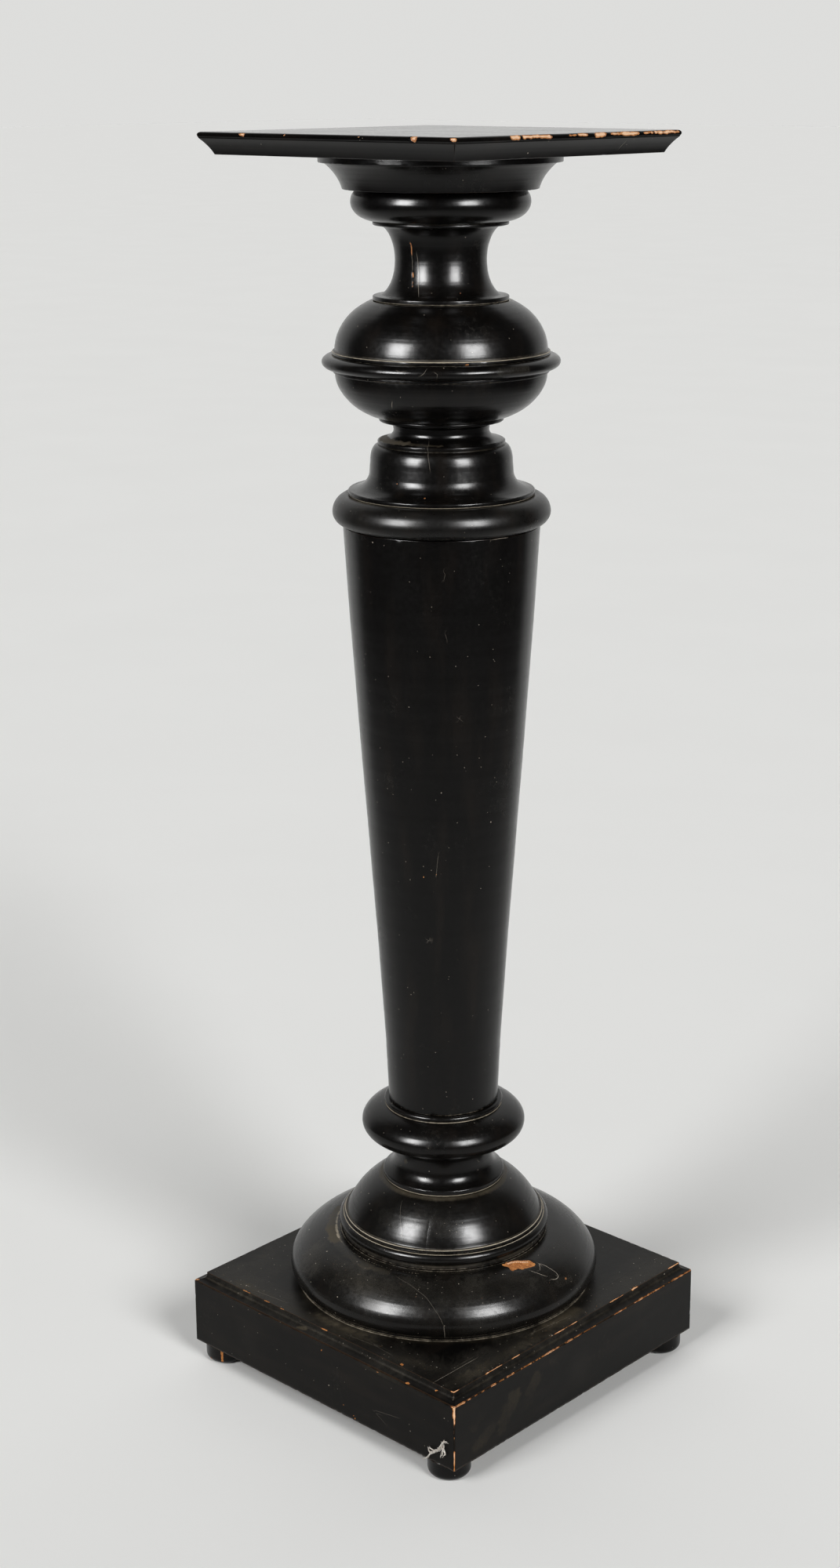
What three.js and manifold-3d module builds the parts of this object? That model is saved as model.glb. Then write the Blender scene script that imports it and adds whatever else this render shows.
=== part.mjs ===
// Display plinth: an ebonised pedestal of lathe-turned wooden sections, on a square boxed plinth with four
// turned feet, under a square moulded top. Millimetres, +Z up, origin on the floor under the plinth's centre.
// The near corner of the plinth is its +X -Y corner.
import * as THREE from 'three';
import { mergeVertices } from 'three/addons/utils/BufferGeometryUtils.js';
import Module from 'manifold-3d';

const wasm = await Module();
wasm.setup();

// Heights of the sections, from the floor up. They add up to the overall height of 1115.
const FOOT_HEIGHT = 18;
const RAIL_HEIGHT = 61.7;
const PLINTH_EDGE_HEIGHT = 8;
const BASE_TORUS_HEIGHT = 46.8;
const DOME_HEIGHT = 52.9;
const KNOP_HEIGHT = 77;
const SHAFT_HEIGHT = 528.2;
const COLLAR_HEIGHT = 25.6;
const BELL_HEIGHT = 62;
const LOWER_BALL_HEIGHT = 43.6;
const BAND_HEIGHT = 12;
const UPPER_BALL_HEIGHT = 44;
const NECK_HEIGHT = 89.6;
const FLANGE_HEIGHT = 27.6;
const TOP_THICKNESS = 18;

// Square parts
const PLINTH_SIDE = 330;
const RAIL_THICKNESS = 12;
const PLINTH_TOP_INSET = 8.4; // from the rails' outer face to the board's upper arris
const PLINTH_REBATE_DEPTH = 12; // how far the board drops inside the rails
const STRIP_WIDTH = 22; // narrow board glued along the +X edge of the plinth's top
const BLOCK_SIDE = 38;
const TOP_SIDE = 280;
const TOP_EDGE_INSET = 9.9; // from the nose of the top to its lower arris
const TOP_NOSE_RADIUS = 2.5;
const TOP_TURN = THREE.MathUtils.degToRad(1); // the top is fixed one degree out of square with the plinth

// Feet
const FOOT_RADIUS = 19;
const FOOT_ROUNDING = 6.5;
const FOOT_INSET = 20; // from the rails' outer faces to a foot's axis
const FOOT_TENON_RADIUS = 4.5;
const FOOT_TENON_LENGTH = 25;
const NEAR_FOOT_SHIFT = [-3.6, -0.9]; // the near foot was fitted a little off its corner

// Tenons that join the turned sections
const SLIM_TENON_RADIUS = 14;
const SLIM_TENON_LENGTH = 24;
const WIDE_TENON_RADIUS = 30;
const WIDE_TENON_LENGTH = 30;
const BASE_TENON_LENGTH = 20;
const BALL_TENON_RADIUS = 40;
const BALL_TENON_LENGTH = 22; // through the band, into the upper half of the ball
const SOCKET_SPARE = 1; // a socket is this much deeper than its tenon

// Screws
const SCREW_HEAD_RADIUS = 4.6;
const SCREW_HEAD_HEIGHT = 3;
const SCREW_SHANK_RADIUS = 2.2;
const SCREW_POINT_LENGTH = 6;
const SCREW_SLOT = [1.1, 1.2]; // width and depth
const TOP_SCREW_LENGTH = 38;
const TOP_SCREW_CIRCLE = 48; // radius of the ring of screws through the flange
const BASE_SCREW_LENGTH = 45;
const BASE_SCREW_CIRCLE = 92;
const SCREW_RECESS = 1;

const GAP = 0.3; // clearance left at every glued or screwed joint
const SEGMENTS = 28; // facets around a turned section
const SMALL_SEGMENTS = 16; // facets around a foot
const SCREW_SEGMENTS = 8;
const CURVE_STEP = 7; // length of the straight pieces that stand for a curve of an outline
const LEAST_STEPS = 4;
const MOST_STEPS = 8;

const ebonised = { color: 0x14110f, roughness: 0.32, metalness: 0 };
const blackBoard = { color: 0x181512, roughness: 0.45, metalness: 0 };
const bareWood = { color: 0x8a5a34, roughness: 0.75, metalness: 0 };
const steel = { color: 0x6f6a62, roughness: 0.5, metalness: 1 };

const part = new THREE.Group();

function add(name, geometry, look, x = 0, y = 0, z = 0, turn = 0) {
  const mesh = new THREE.Mesh(geometry, new THREE.MeshStandardMaterial(look));
  mesh.name = name;
  mesh.position.set(x, y, z);
  mesh.rotation.z = turn;
  part.add(mesh);
  return mesh;
}

// ---------- Outlines and solids ----------

// An outline is drawn in the (radius, height) half-plane, upwards on its outer side.
function outlineFrom(radius, height) {
  return new THREE.Path().moveTo(radius, height);
}

// An arc of an ellipse about (radius, height), between two angles in degrees. Angle 0 points outwards.
function arc(path, radius, height, a, b, fromAngle, toAngle) {
  const from = THREE.MathUtils.degToRad(fromAngle);
  const to = THREE.MathUtils.degToRad(toAngle);
  path.absellipse(radius, height, a, b, from, to, toAngle < fromAngle, 0);
}

// The outline's corners, and the points that stand for each of its curves.
function pointsOf(outline) {
  const points = [outline.curves[0].getPoint(0)];
  for (const curve of outline.curves) {
    const steps = Math.round(curve.getLength() / CURVE_STEP);
    const pieces = curve.isLineCurve ? 1 : THREE.MathUtils.clamp(steps, LEAST_STEPS, MOST_STEPS);
    points.push(...curve.getPoints(pieces).slice(1));
  }
  return points;
}

// Turns an outline about the Z axis. Four facets make a mitred square, and radius is then the half side.
function turned(outline, facets = SEGMENTS) {
  const square = facets === 4;
  const reach = square ? Math.SQRT2 : 1;
  const points = pointsOf(outline).map((p) => new THREE.Vector2(p.x * reach, p.y));
  const geometry = new THREE.LatheGeometry(points, facets, square ? Math.PI / 4 : 0);
  geometry.rotateX(Math.PI / 2);
  return geometry;
}

function solidOf(geometry) {
  const bare = geometry.clone();
  bare.deleteAttribute('normal');
  bare.deleteAttribute('uv');
  const merged = mergeVertices(bare, 1e-4);
  const vertProperties = new Float32Array(merged.attributes.position.array);
  const triVerts = new Uint32Array(merged.index.array);
  return new wasm.Manifold(new wasm.Mesh({ numProp: 3, vertProperties, triVerts }));
}

function geometryOf(solid) {
  const { numProp, vertProperties, triVerts } = solid.getMesh();
  const positions = new Float32Array((vertProperties.length / numProp) * 3);
  for (let i = 0; i < positions.length / 3; i += 1) {
    positions.set(vertProperties.subarray(numProp * i, numProp * i + 3), 3 * i);
  }
  const geometry = new THREE.BufferGeometry();
  geometry.setAttribute('position', new THREE.BufferAttribute(positions, 3));
  geometry.setIndex([...triVerts]);
  return geometry;
}

// Cuts every tool, moved to its place, out of a geometry.
function cut(geometry, tools) {
  let solid = solidOf(geometry);
  for (const { tool, x, y, z } of tools) {
    solid = solid.subtract(solidOf(tool.clone().translate(x, y, z)));
  }
  return geometryOf(solid);
}

function box(sizeX, sizeY, height) {
  return new THREE.BoxGeometry(sizeX, sizeY, height).translate(0, 0, height / 2);
}

// ---------- Screws ----------

// A countersunk wood screw, head down and point up. grow makes the hole that it sits in.
function screwBody(length, grow = 0) {
  const head = SCREW_HEAD_RADIUS + grow;
  const shank = SCREW_SHANK_RADIUS + grow;
  const outline = outlineFrom(0, grow ? -SCREW_RECESS - 1 : 0);
  outline.lineTo(head, grow ? -SCREW_RECESS - 1 : 0);
  outline.lineTo(head, 0.4);
  outline.lineTo(shank, SCREW_HEAD_HEIGHT);
  outline.lineTo(shank, length - SCREW_POINT_LENGTH);
  outline.lineTo(grow ? shank / 2 : 0.4, length + grow);
  outline.lineTo(0, length + grow);
  return turned(outline, SCREW_SEGMENTS);
}

function screw(length) {
  const [slotWidth, slotDepth] = SCREW_SLOT;
  const slot = box(4 * SCREW_HEAD_RADIUS, slotWidth, 2 * slotDepth);
  return cut(screwBody(length), [{ tool: slot, x: 0, y: 0, z: -slotDepth }]);
}

// Four places on a circle, on the diagonals of the square parts.
function ringOfFour(radius) {
  return [45, 135, 225, 315].map((degrees) => {
    const angle = THREE.MathUtils.degToRad(degrees);
    return { x: radius * Math.cos(angle), y: radius * Math.sin(angle) };
  });
}

// ---------- Turned sections, each with its seat at height 0 ----------

function flangeOutline() {
  const outline = outlineFrom(SLIM_TENON_RADIUS + GAP, 0);
  outline.lineTo(80.9, 0);
  outline.quadraticCurveTo(84, 11.5, 95.5, 20.7); // cove
  outline.lineTo(95.8, 21.2);
  outline.lineTo(99.9, 21.2);
  outline.lineTo(100.4, 21.8); // fillet under the top
  outline.lineTo(100.4, FLANGE_HEIGHT - GAP);
  outline.lineTo(SLIM_TENON_RADIUS + GAP, FLANGE_HEIGHT - GAP);
  outline.closePath();
  return outline;
}

function neckOutline() {
  const outline = outlineFrom(0, -SLIM_TENON_LENGTH);
  outline.lineTo(SLIM_TENON_RADIUS, -SLIM_TENON_LENGTH);
  outline.lineTo(SLIM_TENON_RADIUS, 0);
  outline.lineTo(56.2, 0);
  outline.lineTo(56.7, 0.6); // lower lip
  outline.lineTo(56.7, 3.3);
  outline.lineTo(56, 4);
  arc(outline, 53.9, 32.5, 15.8, 29, 255, 105); // scotia
  outline.lineTo(55.8, 60.8);
  outline.lineTo(56.4, 61.6); // upper lip
  outline.lineTo(56.4, 63);
  arc(outline, 53.1, 79.6, 21.3, 15.9, -83, 37.6); // torus, cut off by the flange
  outline.lineTo(SLIM_TENON_RADIUS, NECK_HEIGHT - GAP);
  outline.lineTo(SLIM_TENON_RADIUS, NECK_HEIGHT + SLIM_TENON_LENGTH);
  outline.lineTo(0, NECK_HEIGHT + SLIM_TENON_LENGTH);
  return outline;
}

function upperBallOutline() {
  const recess = BALL_TENON_LENGTH - BAND_HEIGHT + SOCKET_SPARE;
  const outline = outlineFrom(SLIM_TENON_RADIUS + GAP, recess);
  outline.lineTo(BALL_TENON_RADIUS + GAP, recess);
  outline.lineTo(BALL_TENON_RADIUS + GAP, 0);
  outline.lineTo(91.2, 0);
  outline.lineTo(91.2, 2.9); // fillet over the band
  outline.lineTo(89.2, 3.6);
  outline.bezierCurveTo(88.8, 18, 79.5, 35, 58.5, UPPER_BALL_HEIGHT - GAP);
  outline.lineTo(SLIM_TENON_RADIUS + GAP, UPPER_BALL_HEIGHT - GAP);
  outline.closePath();
  return outline;
}

function bandOutline() {
  const outline = outlineFrom(BALL_TENON_RADIUS + GAP, 0);
  arc(outline, 91.3, (BAND_HEIGHT - GAP) / 2, 8.6, (BAND_HEIGHT - GAP) / 2, -90, 90);
  outline.lineTo(BALL_TENON_RADIUS + GAP, BAND_HEIGHT - GAP);
  outline.closePath();
  return outline;
}

function lowerBallOutline() {
  const top = LOWER_BALL_HEIGHT - GAP;
  const tenonTop = LOWER_BALL_HEIGHT + BALL_TENON_LENGTH - GAP;
  const upperSocketFloor = LOWER_BALL_HEIGHT + BAND_HEIGHT - SLIM_TENON_LENGTH - SOCKET_SPARE;
  const lowerSocketRoof = SLIM_TENON_LENGTH + SOCKET_SPARE;
  const outline = outlineFrom(0, lowerSocketRoof);
  outline.lineTo(SLIM_TENON_RADIUS + GAP, lowerSocketRoof);
  outline.lineTo(SLIM_TENON_RADIUS + GAP, 0);
  outline.lineTo(52, 0);
  outline.lineTo(52.5, 0.6); // lip
  outline.lineTo(52.5, 2.4);
  outline.lineTo(51.8, 3);
  outline.lineTo(53.5, 3.3);
  outline.bezierCurveTo(73, 8, 89.2, 25, 88.9, 40.4);
  outline.lineTo(90.6, 41); // fillet under the band
  outline.lineTo(90.6, top);
  outline.lineTo(BALL_TENON_RADIUS, top);
  outline.lineTo(BALL_TENON_RADIUS, tenonTop);
  outline.lineTo(SLIM_TENON_RADIUS + GAP, tenonTop);
  outline.lineTo(SLIM_TENON_RADIUS + GAP, upperSocketFloor);
  outline.lineTo(0, upperSocketFloor);
  return outline;
}

function bellOutline() {
  const tenonBottom = -COLLAR_HEIGHT - WIDE_TENON_LENGTH;
  const outline = outlineFrom(0, tenonBottom);
  outline.lineTo(WIDE_TENON_RADIUS, tenonBottom);
  outline.lineTo(WIDE_TENON_RADIUS, 0);
  outline.lineTo(78.7, 0);
  outline.lineTo(79.3, 0.7); // lower lip
  outline.lineTo(79.3, 3.2);
  outline.lineTo(78.5, 4.1);
  outline.lineTo(76.6, 4.3);
  outline.bezierCurveTo(70, 5.2, 61.5, 9.5, 61, 19); // foot of the bell
  outline.lineTo(60.3, 29);
  outline.bezierCurveTo(59.8, 36.5, 58, 40.5, 54.6, 42); // shoulder
  outline.lineTo(53.4, 42.2);
  outline.lineTo(53.9, 42.9); // upper lip
  outline.lineTo(53.9, 45.6);
  outline.lineTo(52.8, 46.3);
  outline.bezierCurveTo(44.5, 47.6, 40.6, 50, 40.4, 54.5); // short neck
  outline.lineTo(41, 58.6);
  outline.lineTo(44.5, BELL_HEIGHT - GAP);
  outline.lineTo(SLIM_TENON_RADIUS, BELL_HEIGHT - GAP);
  outline.lineTo(SLIM_TENON_RADIUS, BELL_HEIGHT + SLIM_TENON_LENGTH);
  outline.lineTo(0, BELL_HEIGHT + SLIM_TENON_LENGTH);
  return outline;
}

function collarOutline() {
  const outline = outlineFrom(WIDE_TENON_RADIUS + GAP, 0);
  arc(outline, 80.9, 11, 12, 11, -90, 0);
  arc(outline, 78, 11, 14.9, 14.8, 0, 75);
  outline.lineTo(81, COLLAR_HEIGHT - GAP);
  outline.lineTo(WIDE_TENON_RADIUS + GAP, COLLAR_HEIGHT - GAP);
  outline.closePath();
  return outline;
}

function shaftOutline() {
  const top = SHAFT_HEIGHT - GAP;
  const lowerSocketRoof = SLIM_TENON_LENGTH + SOCKET_SPARE;
  const upperSocketFloor = SHAFT_HEIGHT - WIDE_TENON_LENGTH - SOCKET_SPARE;
  const outline = outlineFrom(0, lowerSocketRoof);
  outline.lineTo(SLIM_TENON_RADIUS + GAP, lowerSocketRoof);
  outline.lineTo(SLIM_TENON_RADIUS + GAP, 0);
  outline.lineTo(49.6, 0);
  const taper = [[51.9, 54], [58.3, 155], [69, 302], [79.5, 450], [84.2, top]];
  taper.forEach(([radius, height]) => outline.lineTo(radius, height));
  outline.lineTo(WIDE_TENON_RADIUS + GAP, top);
  outline.lineTo(WIDE_TENON_RADIUS + GAP, upperSocketFloor);
  outline.lineTo(0, upperSocketFloor);
  return outline;
}

function knopOutline() {
  const outline = outlineFrom(0, -SLIM_TENON_LENGTH);
  outline.lineTo(SLIM_TENON_RADIUS, -SLIM_TENON_LENGTH);
  outline.lineTo(SLIM_TENON_RADIUS, 0);
  outline.lineTo(55, 0);
  outline.lineTo(55.4, 0.7); // fillet on the dome
  outline.lineTo(55.4, 4.7);
  outline.lineTo(54.6, 5.5);
  outline.bezierCurveTo(47.5, 9.5, 45.2, 14, 45.2, 21); // scotia
  outline.bezierCurveTo(45.2, 30, 48, 37, 55, 39.6);
  arc(outline, 61, 53.7, 13.4, 12.9, -110, 0); // torus
  outline.bezierCurveTo(74.4, 61.1, 67.5, 67.4, 54.6, 71.3);
  outline.lineTo(53, 71.6);
  arc(outline, 51.2, 74.1, 2.9, 2.6, -50, 80); // bead round the foot of the shaft
  outline.lineTo(SLIM_TENON_RADIUS, KNOP_HEIGHT - GAP);
  outline.lineTo(SLIM_TENON_RADIUS, KNOP_HEIGHT + SLIM_TENON_LENGTH);
  outline.lineTo(0, KNOP_HEIGHT + SLIM_TENON_LENGTH);
  return outline;
}

function domeOutline() {
  const socketFloor = DOME_HEIGHT - SLIM_TENON_LENGTH - SOCKET_SPARE;
  const outline = outlineFrom(0, -BASE_TENON_LENGTH);
  outline.lineTo(WIDE_TENON_RADIUS, -BASE_TENON_LENGTH);
  outline.lineTo(WIDE_TENON_RADIUS, 0);
  outline.lineTo(94, 0);
  outline.lineTo(92.8, 3.4);
  arc(outline, 91.6, 9.2, 5.1, 5.3, -75, 80); // bead
  outline.lineTo(91, 15.3); // quirk
  outline.lineTo(91, 17.4);
  outline.lineTo(88.9, 18.4);
  outline.bezierCurveTo(84.4, 29.5, 71.5, 47, 55.5, DOME_HEIGHT - GAP);
  outline.lineTo(SLIM_TENON_RADIUS + GAP, DOME_HEIGHT - GAP);
  outline.lineTo(SLIM_TENON_RADIUS + GAP, socketFloor);
  outline.lineTo(0, socketFloor);
  return outline;
}

function baseTorusOutline() {
  const outline = outlineFrom(WIDE_TENON_RADIUS + GAP, 0);
  outline.lineTo(135.3, 0);
  arc(outline, 128.3, 13.5, 14, 13, -58, 8);
  outline.bezierCurveTo(141, 27, 124, 45, 97, BASE_TORUS_HEIGHT - GAP);
  outline.lineTo(WIDE_TENON_RADIUS + GAP, BASE_TORUS_HEIGHT - GAP);
  outline.closePath();
  return outline;
}

function footOutline() {
  const top = FOOT_HEIGHT - GAP;
  const outline = outlineFrom(0, 0);
  outline.lineTo(FOOT_RADIUS - FOOT_ROUNDING, 0);
  arc(outline, FOOT_RADIUS - FOOT_ROUNDING, FOOT_ROUNDING, FOOT_ROUNDING, FOOT_ROUNDING, -90, 0);
  outline.lineTo(FOOT_RADIUS, top);
  outline.lineTo(FOOT_TENON_RADIUS, top);
  outline.lineTo(FOOT_TENON_RADIUS, FOOT_HEIGHT + FOOT_TENON_LENGTH);
  outline.lineTo(0, FOOT_HEIGHT + FOOT_TENON_LENGTH);
  return outline;
}

// ---------- Square boards ----------

function topBoardOutline() {
  const nose = TOP_SIDE / 2;
  const outline = outlineFrom(0, 0);
  outline.lineTo(nose - TOP_EDGE_INSET, 0);
  outline.quadraticCurveTo(nose - 7.2, 6.5, nose - 0.9, TOP_THICKNESS - 2 * TOP_NOSE_RADIUS); // cove
  const noseRadius = TOP_NOSE_RADIUS;
  arc(outline, nose - noseRadius, TOP_THICKNESS - noseRadius, noseRadius, noseRadius, -45, 90);
  outline.lineTo(0, TOP_THICKNESS);
  return outline;
}

function plinthBoardOutline() {
  const ledge = PLINTH_SIDE / 2 - 0.4;
  const arris = PLINTH_SIDE / 2 - PLINTH_TOP_INSET;
  const inside = PLINTH_SIDE / 2 - RAIL_THICKNESS - GAP;
  const outline = outlineFrom(0, -PLINTH_REBATE_DEPTH);
  outline.lineTo(inside, -PLINTH_REBATE_DEPTH);
  outline.lineTo(inside, 0);
  outline.lineTo(ledge, 0);
  outline.lineTo(ledge, 0.4);
  outline.quadraticCurveTo(arris + 1.2, 0.8, arris + 0.2, 4.2); // cavetto
  outline.lineTo(arris, PLINTH_EDGE_HEIGHT - GAP);
  outline.lineTo(0, PLINTH_EDGE_HEIGHT - GAP);
  return outline;
}

// The -Y rail, mitred at both ends. The others are this one turned about the Z axis.
function rail() {
  const outside = PLINTH_SIDE / 2;
  const inside = outside - RAIL_THICKNESS;
  const mitreGap = GAP * Math.SQRT1_2;
  const shape = new THREE.Shape();
  shape.moveTo(mitreGap - outside, -outside);
  shape.lineTo(outside - mitreGap, -outside);
  shape.lineTo(inside - mitreGap, -inside);
  shape.lineTo(mitreGap - inside, -inside);
  shape.closePath();
  return new THREE.ExtrudeGeometry(shape, { depth: RAIL_HEIGHT - GAP, bevelEnabled: false });
}

// ---------- Assembly, from the floor up ----------

const corners = [
  { name: 'near', x: 1, y: -1 },
  { name: 'right', x: 1, y: 1 },
  { name: 'far', x: -1, y: 1 },
  { name: 'left', x: -1, y: -1 },
];
const railNames = ['rail_left_front', 'rail_right_front', 'rail_right_back', 'rail_left_back'];

let level = 0;
const footAxis = PLINTH_SIDE / 2 - FOOT_INSET;
const blockMiddle = PLINTH_SIDE / 2 - RAIL_THICKNESS - GAP - BLOCK_SIDE / 2;
const blockHeight = RAIL_HEIGHT - PLINTH_REBATE_DEPTH - 2 * GAP;
const tenonHole = new THREE.CylinderGeometry(
  FOOT_TENON_RADIUS + GAP,
  FOOT_TENON_RADIUS + GAP,
  2 * (FOOT_TENON_LENGTH + SOCKET_SPARE),
  SMALL_SEGMENTS,
).rotateX(Math.PI / 2);
corners.forEach((corner, i) => {
  const [shiftX, shiftY] = corner.name === 'near' ? NEAR_FOOT_SHIFT : [0, 0];
  const x = corner.x * footAxis + shiftX;
  const y = corner.y * footAxis + shiftY;
  const blockX = corner.x * blockMiddle;
  const blockY = corner.y * blockMiddle;
  const tenonPlace = { tool: tenonHole, x: x - blockX, y: y - blockY, z: 0 };
  const block = cut(box(BLOCK_SIDE, BLOCK_SIDE, blockHeight), [tenonPlace]);
  add(`foot_${corner.name}`, turned(footOutline(), SMALL_SEGMENTS), ebonised, x, y, level);
  add(`corner_block_${corner.name}`, block, bareWood, blockX, blockY, level + FOOT_HEIGHT);
  add(railNames[i], rail(), blackBoard, 0, 0, level + FOOT_HEIGHT, (i * Math.PI) / 2);
});
level += FOOT_HEIGHT + RAIL_HEIGHT;

const baseScrewBottom = SCREW_RECESS - PLINTH_REBATE_DEPTH;
const baseScrewPlaces = ringOfFour(BASE_SCREW_CIRCLE);
const baseScrewHole = screwBody(BASE_SCREW_LENGTH, GAP);
const holesAt = (places, tool, z) => places.map((place) => ({ tool, z, ...place }));
const boardHoles = holesAt(baseScrewPlaces, baseScrewHole, baseScrewBottom);
const boardWithHoles = solidOf(cut(turned(plinthBoardOutline(), 4), boardHoles));
const jointX = PLINTH_SIDE / 2 - PLINTH_TOP_INSET - STRIP_WIDTH;
const cutterDepth = 4 * PLINTH_REBATE_DEPTH;
const cutter = box(2 * PLINTH_SIDE, 2 * PLINTH_SIDE, cutterDepth).translate(0, 0, -cutterDepth / 2);
const mainSide = solidOf(cutter.clone().translate(jointX - GAP / 2 - PLINTH_SIDE, 0, 0));
const stripSide = solidOf(cutter.clone().translate(jointX + GAP / 2 + PLINTH_SIDE, 0, 0));
add('plinth_board', geometryOf(boardWithHoles.intersect(mainSide)), blackBoard, 0, 0, level);
add('plinth_board_strip', geometryOf(boardWithHoles.intersect(stripSide)), blackBoard, 0, 0, level);
baseScrewPlaces.forEach((place, i) => {
  add(`base_screw_${i + 1}`, screw(BASE_SCREW_LENGTH), steel, place.x, place.y, level + baseScrewBottom);
});
level += PLINTH_EDGE_HEIGHT;

const torusHoles = holesAt(baseScrewPlaces, baseScrewHole, baseScrewBottom - PLINTH_EDGE_HEIGHT);
add('base_torus', cut(turned(baseTorusOutline()), torusHoles), ebonised, 0, 0, level);
level += BASE_TORUS_HEIGHT;

const turnedSections = [
  ['dome', domeOutline, DOME_HEIGHT],
  ['lower_knop', knopOutline, KNOP_HEIGHT],
  ['shaft', shaftOutline, SHAFT_HEIGHT],
  ['collar', collarOutline, COLLAR_HEIGHT],
  ['bell', bellOutline, BELL_HEIGHT],
  ['lower_ball', lowerBallOutline, LOWER_BALL_HEIGHT],
  ['ball_band', bandOutline, BAND_HEIGHT],
  ['upper_ball', upperBallOutline, UPPER_BALL_HEIGHT],
  ['neck', neckOutline, NECK_HEIGHT],
];
for (const [name, outline, height] of turnedSections) {
  add(name, turned(outline()), ebonised, 0, 0, level);
  level += height;
}

const topScrewPlaces = ringOfFour(TOP_SCREW_CIRCLE);
const topScrewHole = screwBody(TOP_SCREW_LENGTH, GAP);
const flangeHoles = holesAt(topScrewPlaces, topScrewHole, SCREW_RECESS);
add('top_flange', cut(turned(flangeOutline()), flangeHoles), ebonised, 0, 0, level);
topScrewPlaces.forEach((place, i) => {
  add(`top_screw_${i + 1}`, screw(TOP_SCREW_LENGTH), steel, place.x, place.y, level + SCREW_RECESS);
});
level += FLANGE_HEIGHT;

// The board's own holes are turned back by the board's turn, so that they meet the flange's.
const boardCentre = new THREE.Vector2();
const boardPlaces = topScrewPlaces.map(({ x, y }) => {
  const place = new THREE.Vector2(x, y).rotateAround(boardCentre, -TOP_TURN);
  return { x: place.x, y: place.y };
});
const topHoles = holesAt(boardPlaces, topScrewHole, SCREW_RECESS - FLANGE_HEIGHT);
add('top_board', cut(turned(topBoardOutline(), 4), topHoles), blackBoard, 0, 0, level, TOP_TURN);

export default part;
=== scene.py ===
import math

import bmesh
import bpy
import numpy as np
from mathutils import Euler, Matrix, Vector


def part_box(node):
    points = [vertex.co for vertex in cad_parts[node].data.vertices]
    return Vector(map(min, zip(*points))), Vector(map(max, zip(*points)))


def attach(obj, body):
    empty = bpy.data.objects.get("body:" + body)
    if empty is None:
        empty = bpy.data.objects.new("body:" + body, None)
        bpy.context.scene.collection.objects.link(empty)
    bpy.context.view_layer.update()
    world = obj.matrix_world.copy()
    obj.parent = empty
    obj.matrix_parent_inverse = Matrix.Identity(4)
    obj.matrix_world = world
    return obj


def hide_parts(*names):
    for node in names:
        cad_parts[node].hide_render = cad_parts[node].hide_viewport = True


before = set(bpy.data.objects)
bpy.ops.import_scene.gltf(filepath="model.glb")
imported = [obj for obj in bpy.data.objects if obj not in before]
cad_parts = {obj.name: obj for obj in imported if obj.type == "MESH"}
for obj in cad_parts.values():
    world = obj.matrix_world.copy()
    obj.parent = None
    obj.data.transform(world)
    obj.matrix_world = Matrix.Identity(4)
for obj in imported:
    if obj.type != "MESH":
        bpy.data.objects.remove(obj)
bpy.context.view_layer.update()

MM = 0.001
GAP = 0.3  # the clearance that the CAD model keeps at every joint
CAMERA_AZIMUTH = 42.92  # degrees; 0 looks along +Y, and 90 along -X
CAMERA_DISTANCE = 2.0168  # from the turning axis
CAMERA_HEIGHT = 1.1647
CAMERA_PITCH = 16.69
CAMERA_ROLL = -0.17
CAMERA_LENS = 54.92
CAMERA_SHIFT = -0.0143

# Values that the vertices of every piece carry, for its material
FIELDS = ("edge", "grime", "trim", "bare", "haze", "line", "line_tone")

# ---------- Noise on points ----------


def lattice(cells, seed):
    """A repeatable random number from 0 to 1 for each whole-number cell."""
    x, y, z = (cells[..., i].astype(np.int64) for i in range(3))
    n = (x * 73856093) ^ (y * 19349663) ^ (z * 83492791) ^ (seed * 2654435761)
    n = (n ^ (n >> 13)) * 1274126177 & 0x7FFFFFFF
    return ((n ^ (n >> 16)) & 0xFFFFF) / 0xFFFFF


def fuzz(points, size, seed):
    """Smooth noise from -1 to 1 at points in metres, with blobs of about the given size in millimetres."""
    p = points / (size * MM)
    cell = np.floor(p)
    f = p - cell
    f = f * f * (3 - 2 * f)
    total = np.zeros(points.shape[:-1])
    for corner in np.ndindex(2, 2, 2):
        weight = np.ones(points.shape[:-1])
        for axis in range(3):
            weight = weight * (f[..., axis] if corner[axis] else 1 - f[..., axis])
        total += weight * lattice(cell + np.array(corner), seed)
    return 2 * total - 1


def smooth_step(low, high, x):
    t = np.clip((x - low) / (high - low), 0, 1)
    return t * t * (3 - 2 * t)


# ---------- Outlines ----------


class Outline:
    """A half-section drawn upwards on its outer side: radius, and height above the seat, in millimetres."""

    def __init__(self, radius, height):
        self.runs = []
        self.at = (radius, height)

    def add(self, points, seen):
        self.runs.append((np.array([self.at, *points], float), seen))
        self.at = tuple(points[-1])
        return self

    def inside(self, radius, height):
        """A hidden straight stretch."""
        return self.add([(radius, height)], False)

    def line(self, radius, height, step=1.6):
        start, end = np.array(self.at), np.array((radius, height), float)
        pieces = max(1, math.ceil(np.linalg.norm(end - start) / step))
        return self.add([start + (end - start) * k / pieces for k in range(1, pieces + 1)], True)

    def curve(self, *controls, step=0.9):
        """A Bezier curve through its last control point."""
        p = [np.array(self.at), *(np.array(c, float) for c in controls)]
        n = len(p) - 1
        reach = sum(np.linalg.norm(b - a) for a, b in zip(p, p[1:]))
        pieces = max(6, math.ceil(reach / step))
        points = []
        for k in range(1, pieces + 1):
            t = k / pieces
            points.append(sum(math.comb(n, i) * (1 - t) ** (n - i) * t**i * p[i] for i in range(n + 1)))
        return self.add(points, True)

    def arc(self, radius, height, a, b, start, end, step=0.9):
        """An arc of an ellipse about (radius, height), between two angles in degrees; 0 points outwards."""
        pieces = max(8, math.ceil(math.radians(abs(end - start)) * (a + b) / 2 / step))
        angles = np.radians(np.linspace(start, end, pieces + 1))
        points = np.stack([radius + a * np.cos(angles), height + b * np.sin(angles)], 1)
        if np.linalg.norm(points[0] - np.array(self.at)) > 0.05:
            self.line(*points[0])
        return self.add(list(points[1:]), True)


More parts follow.
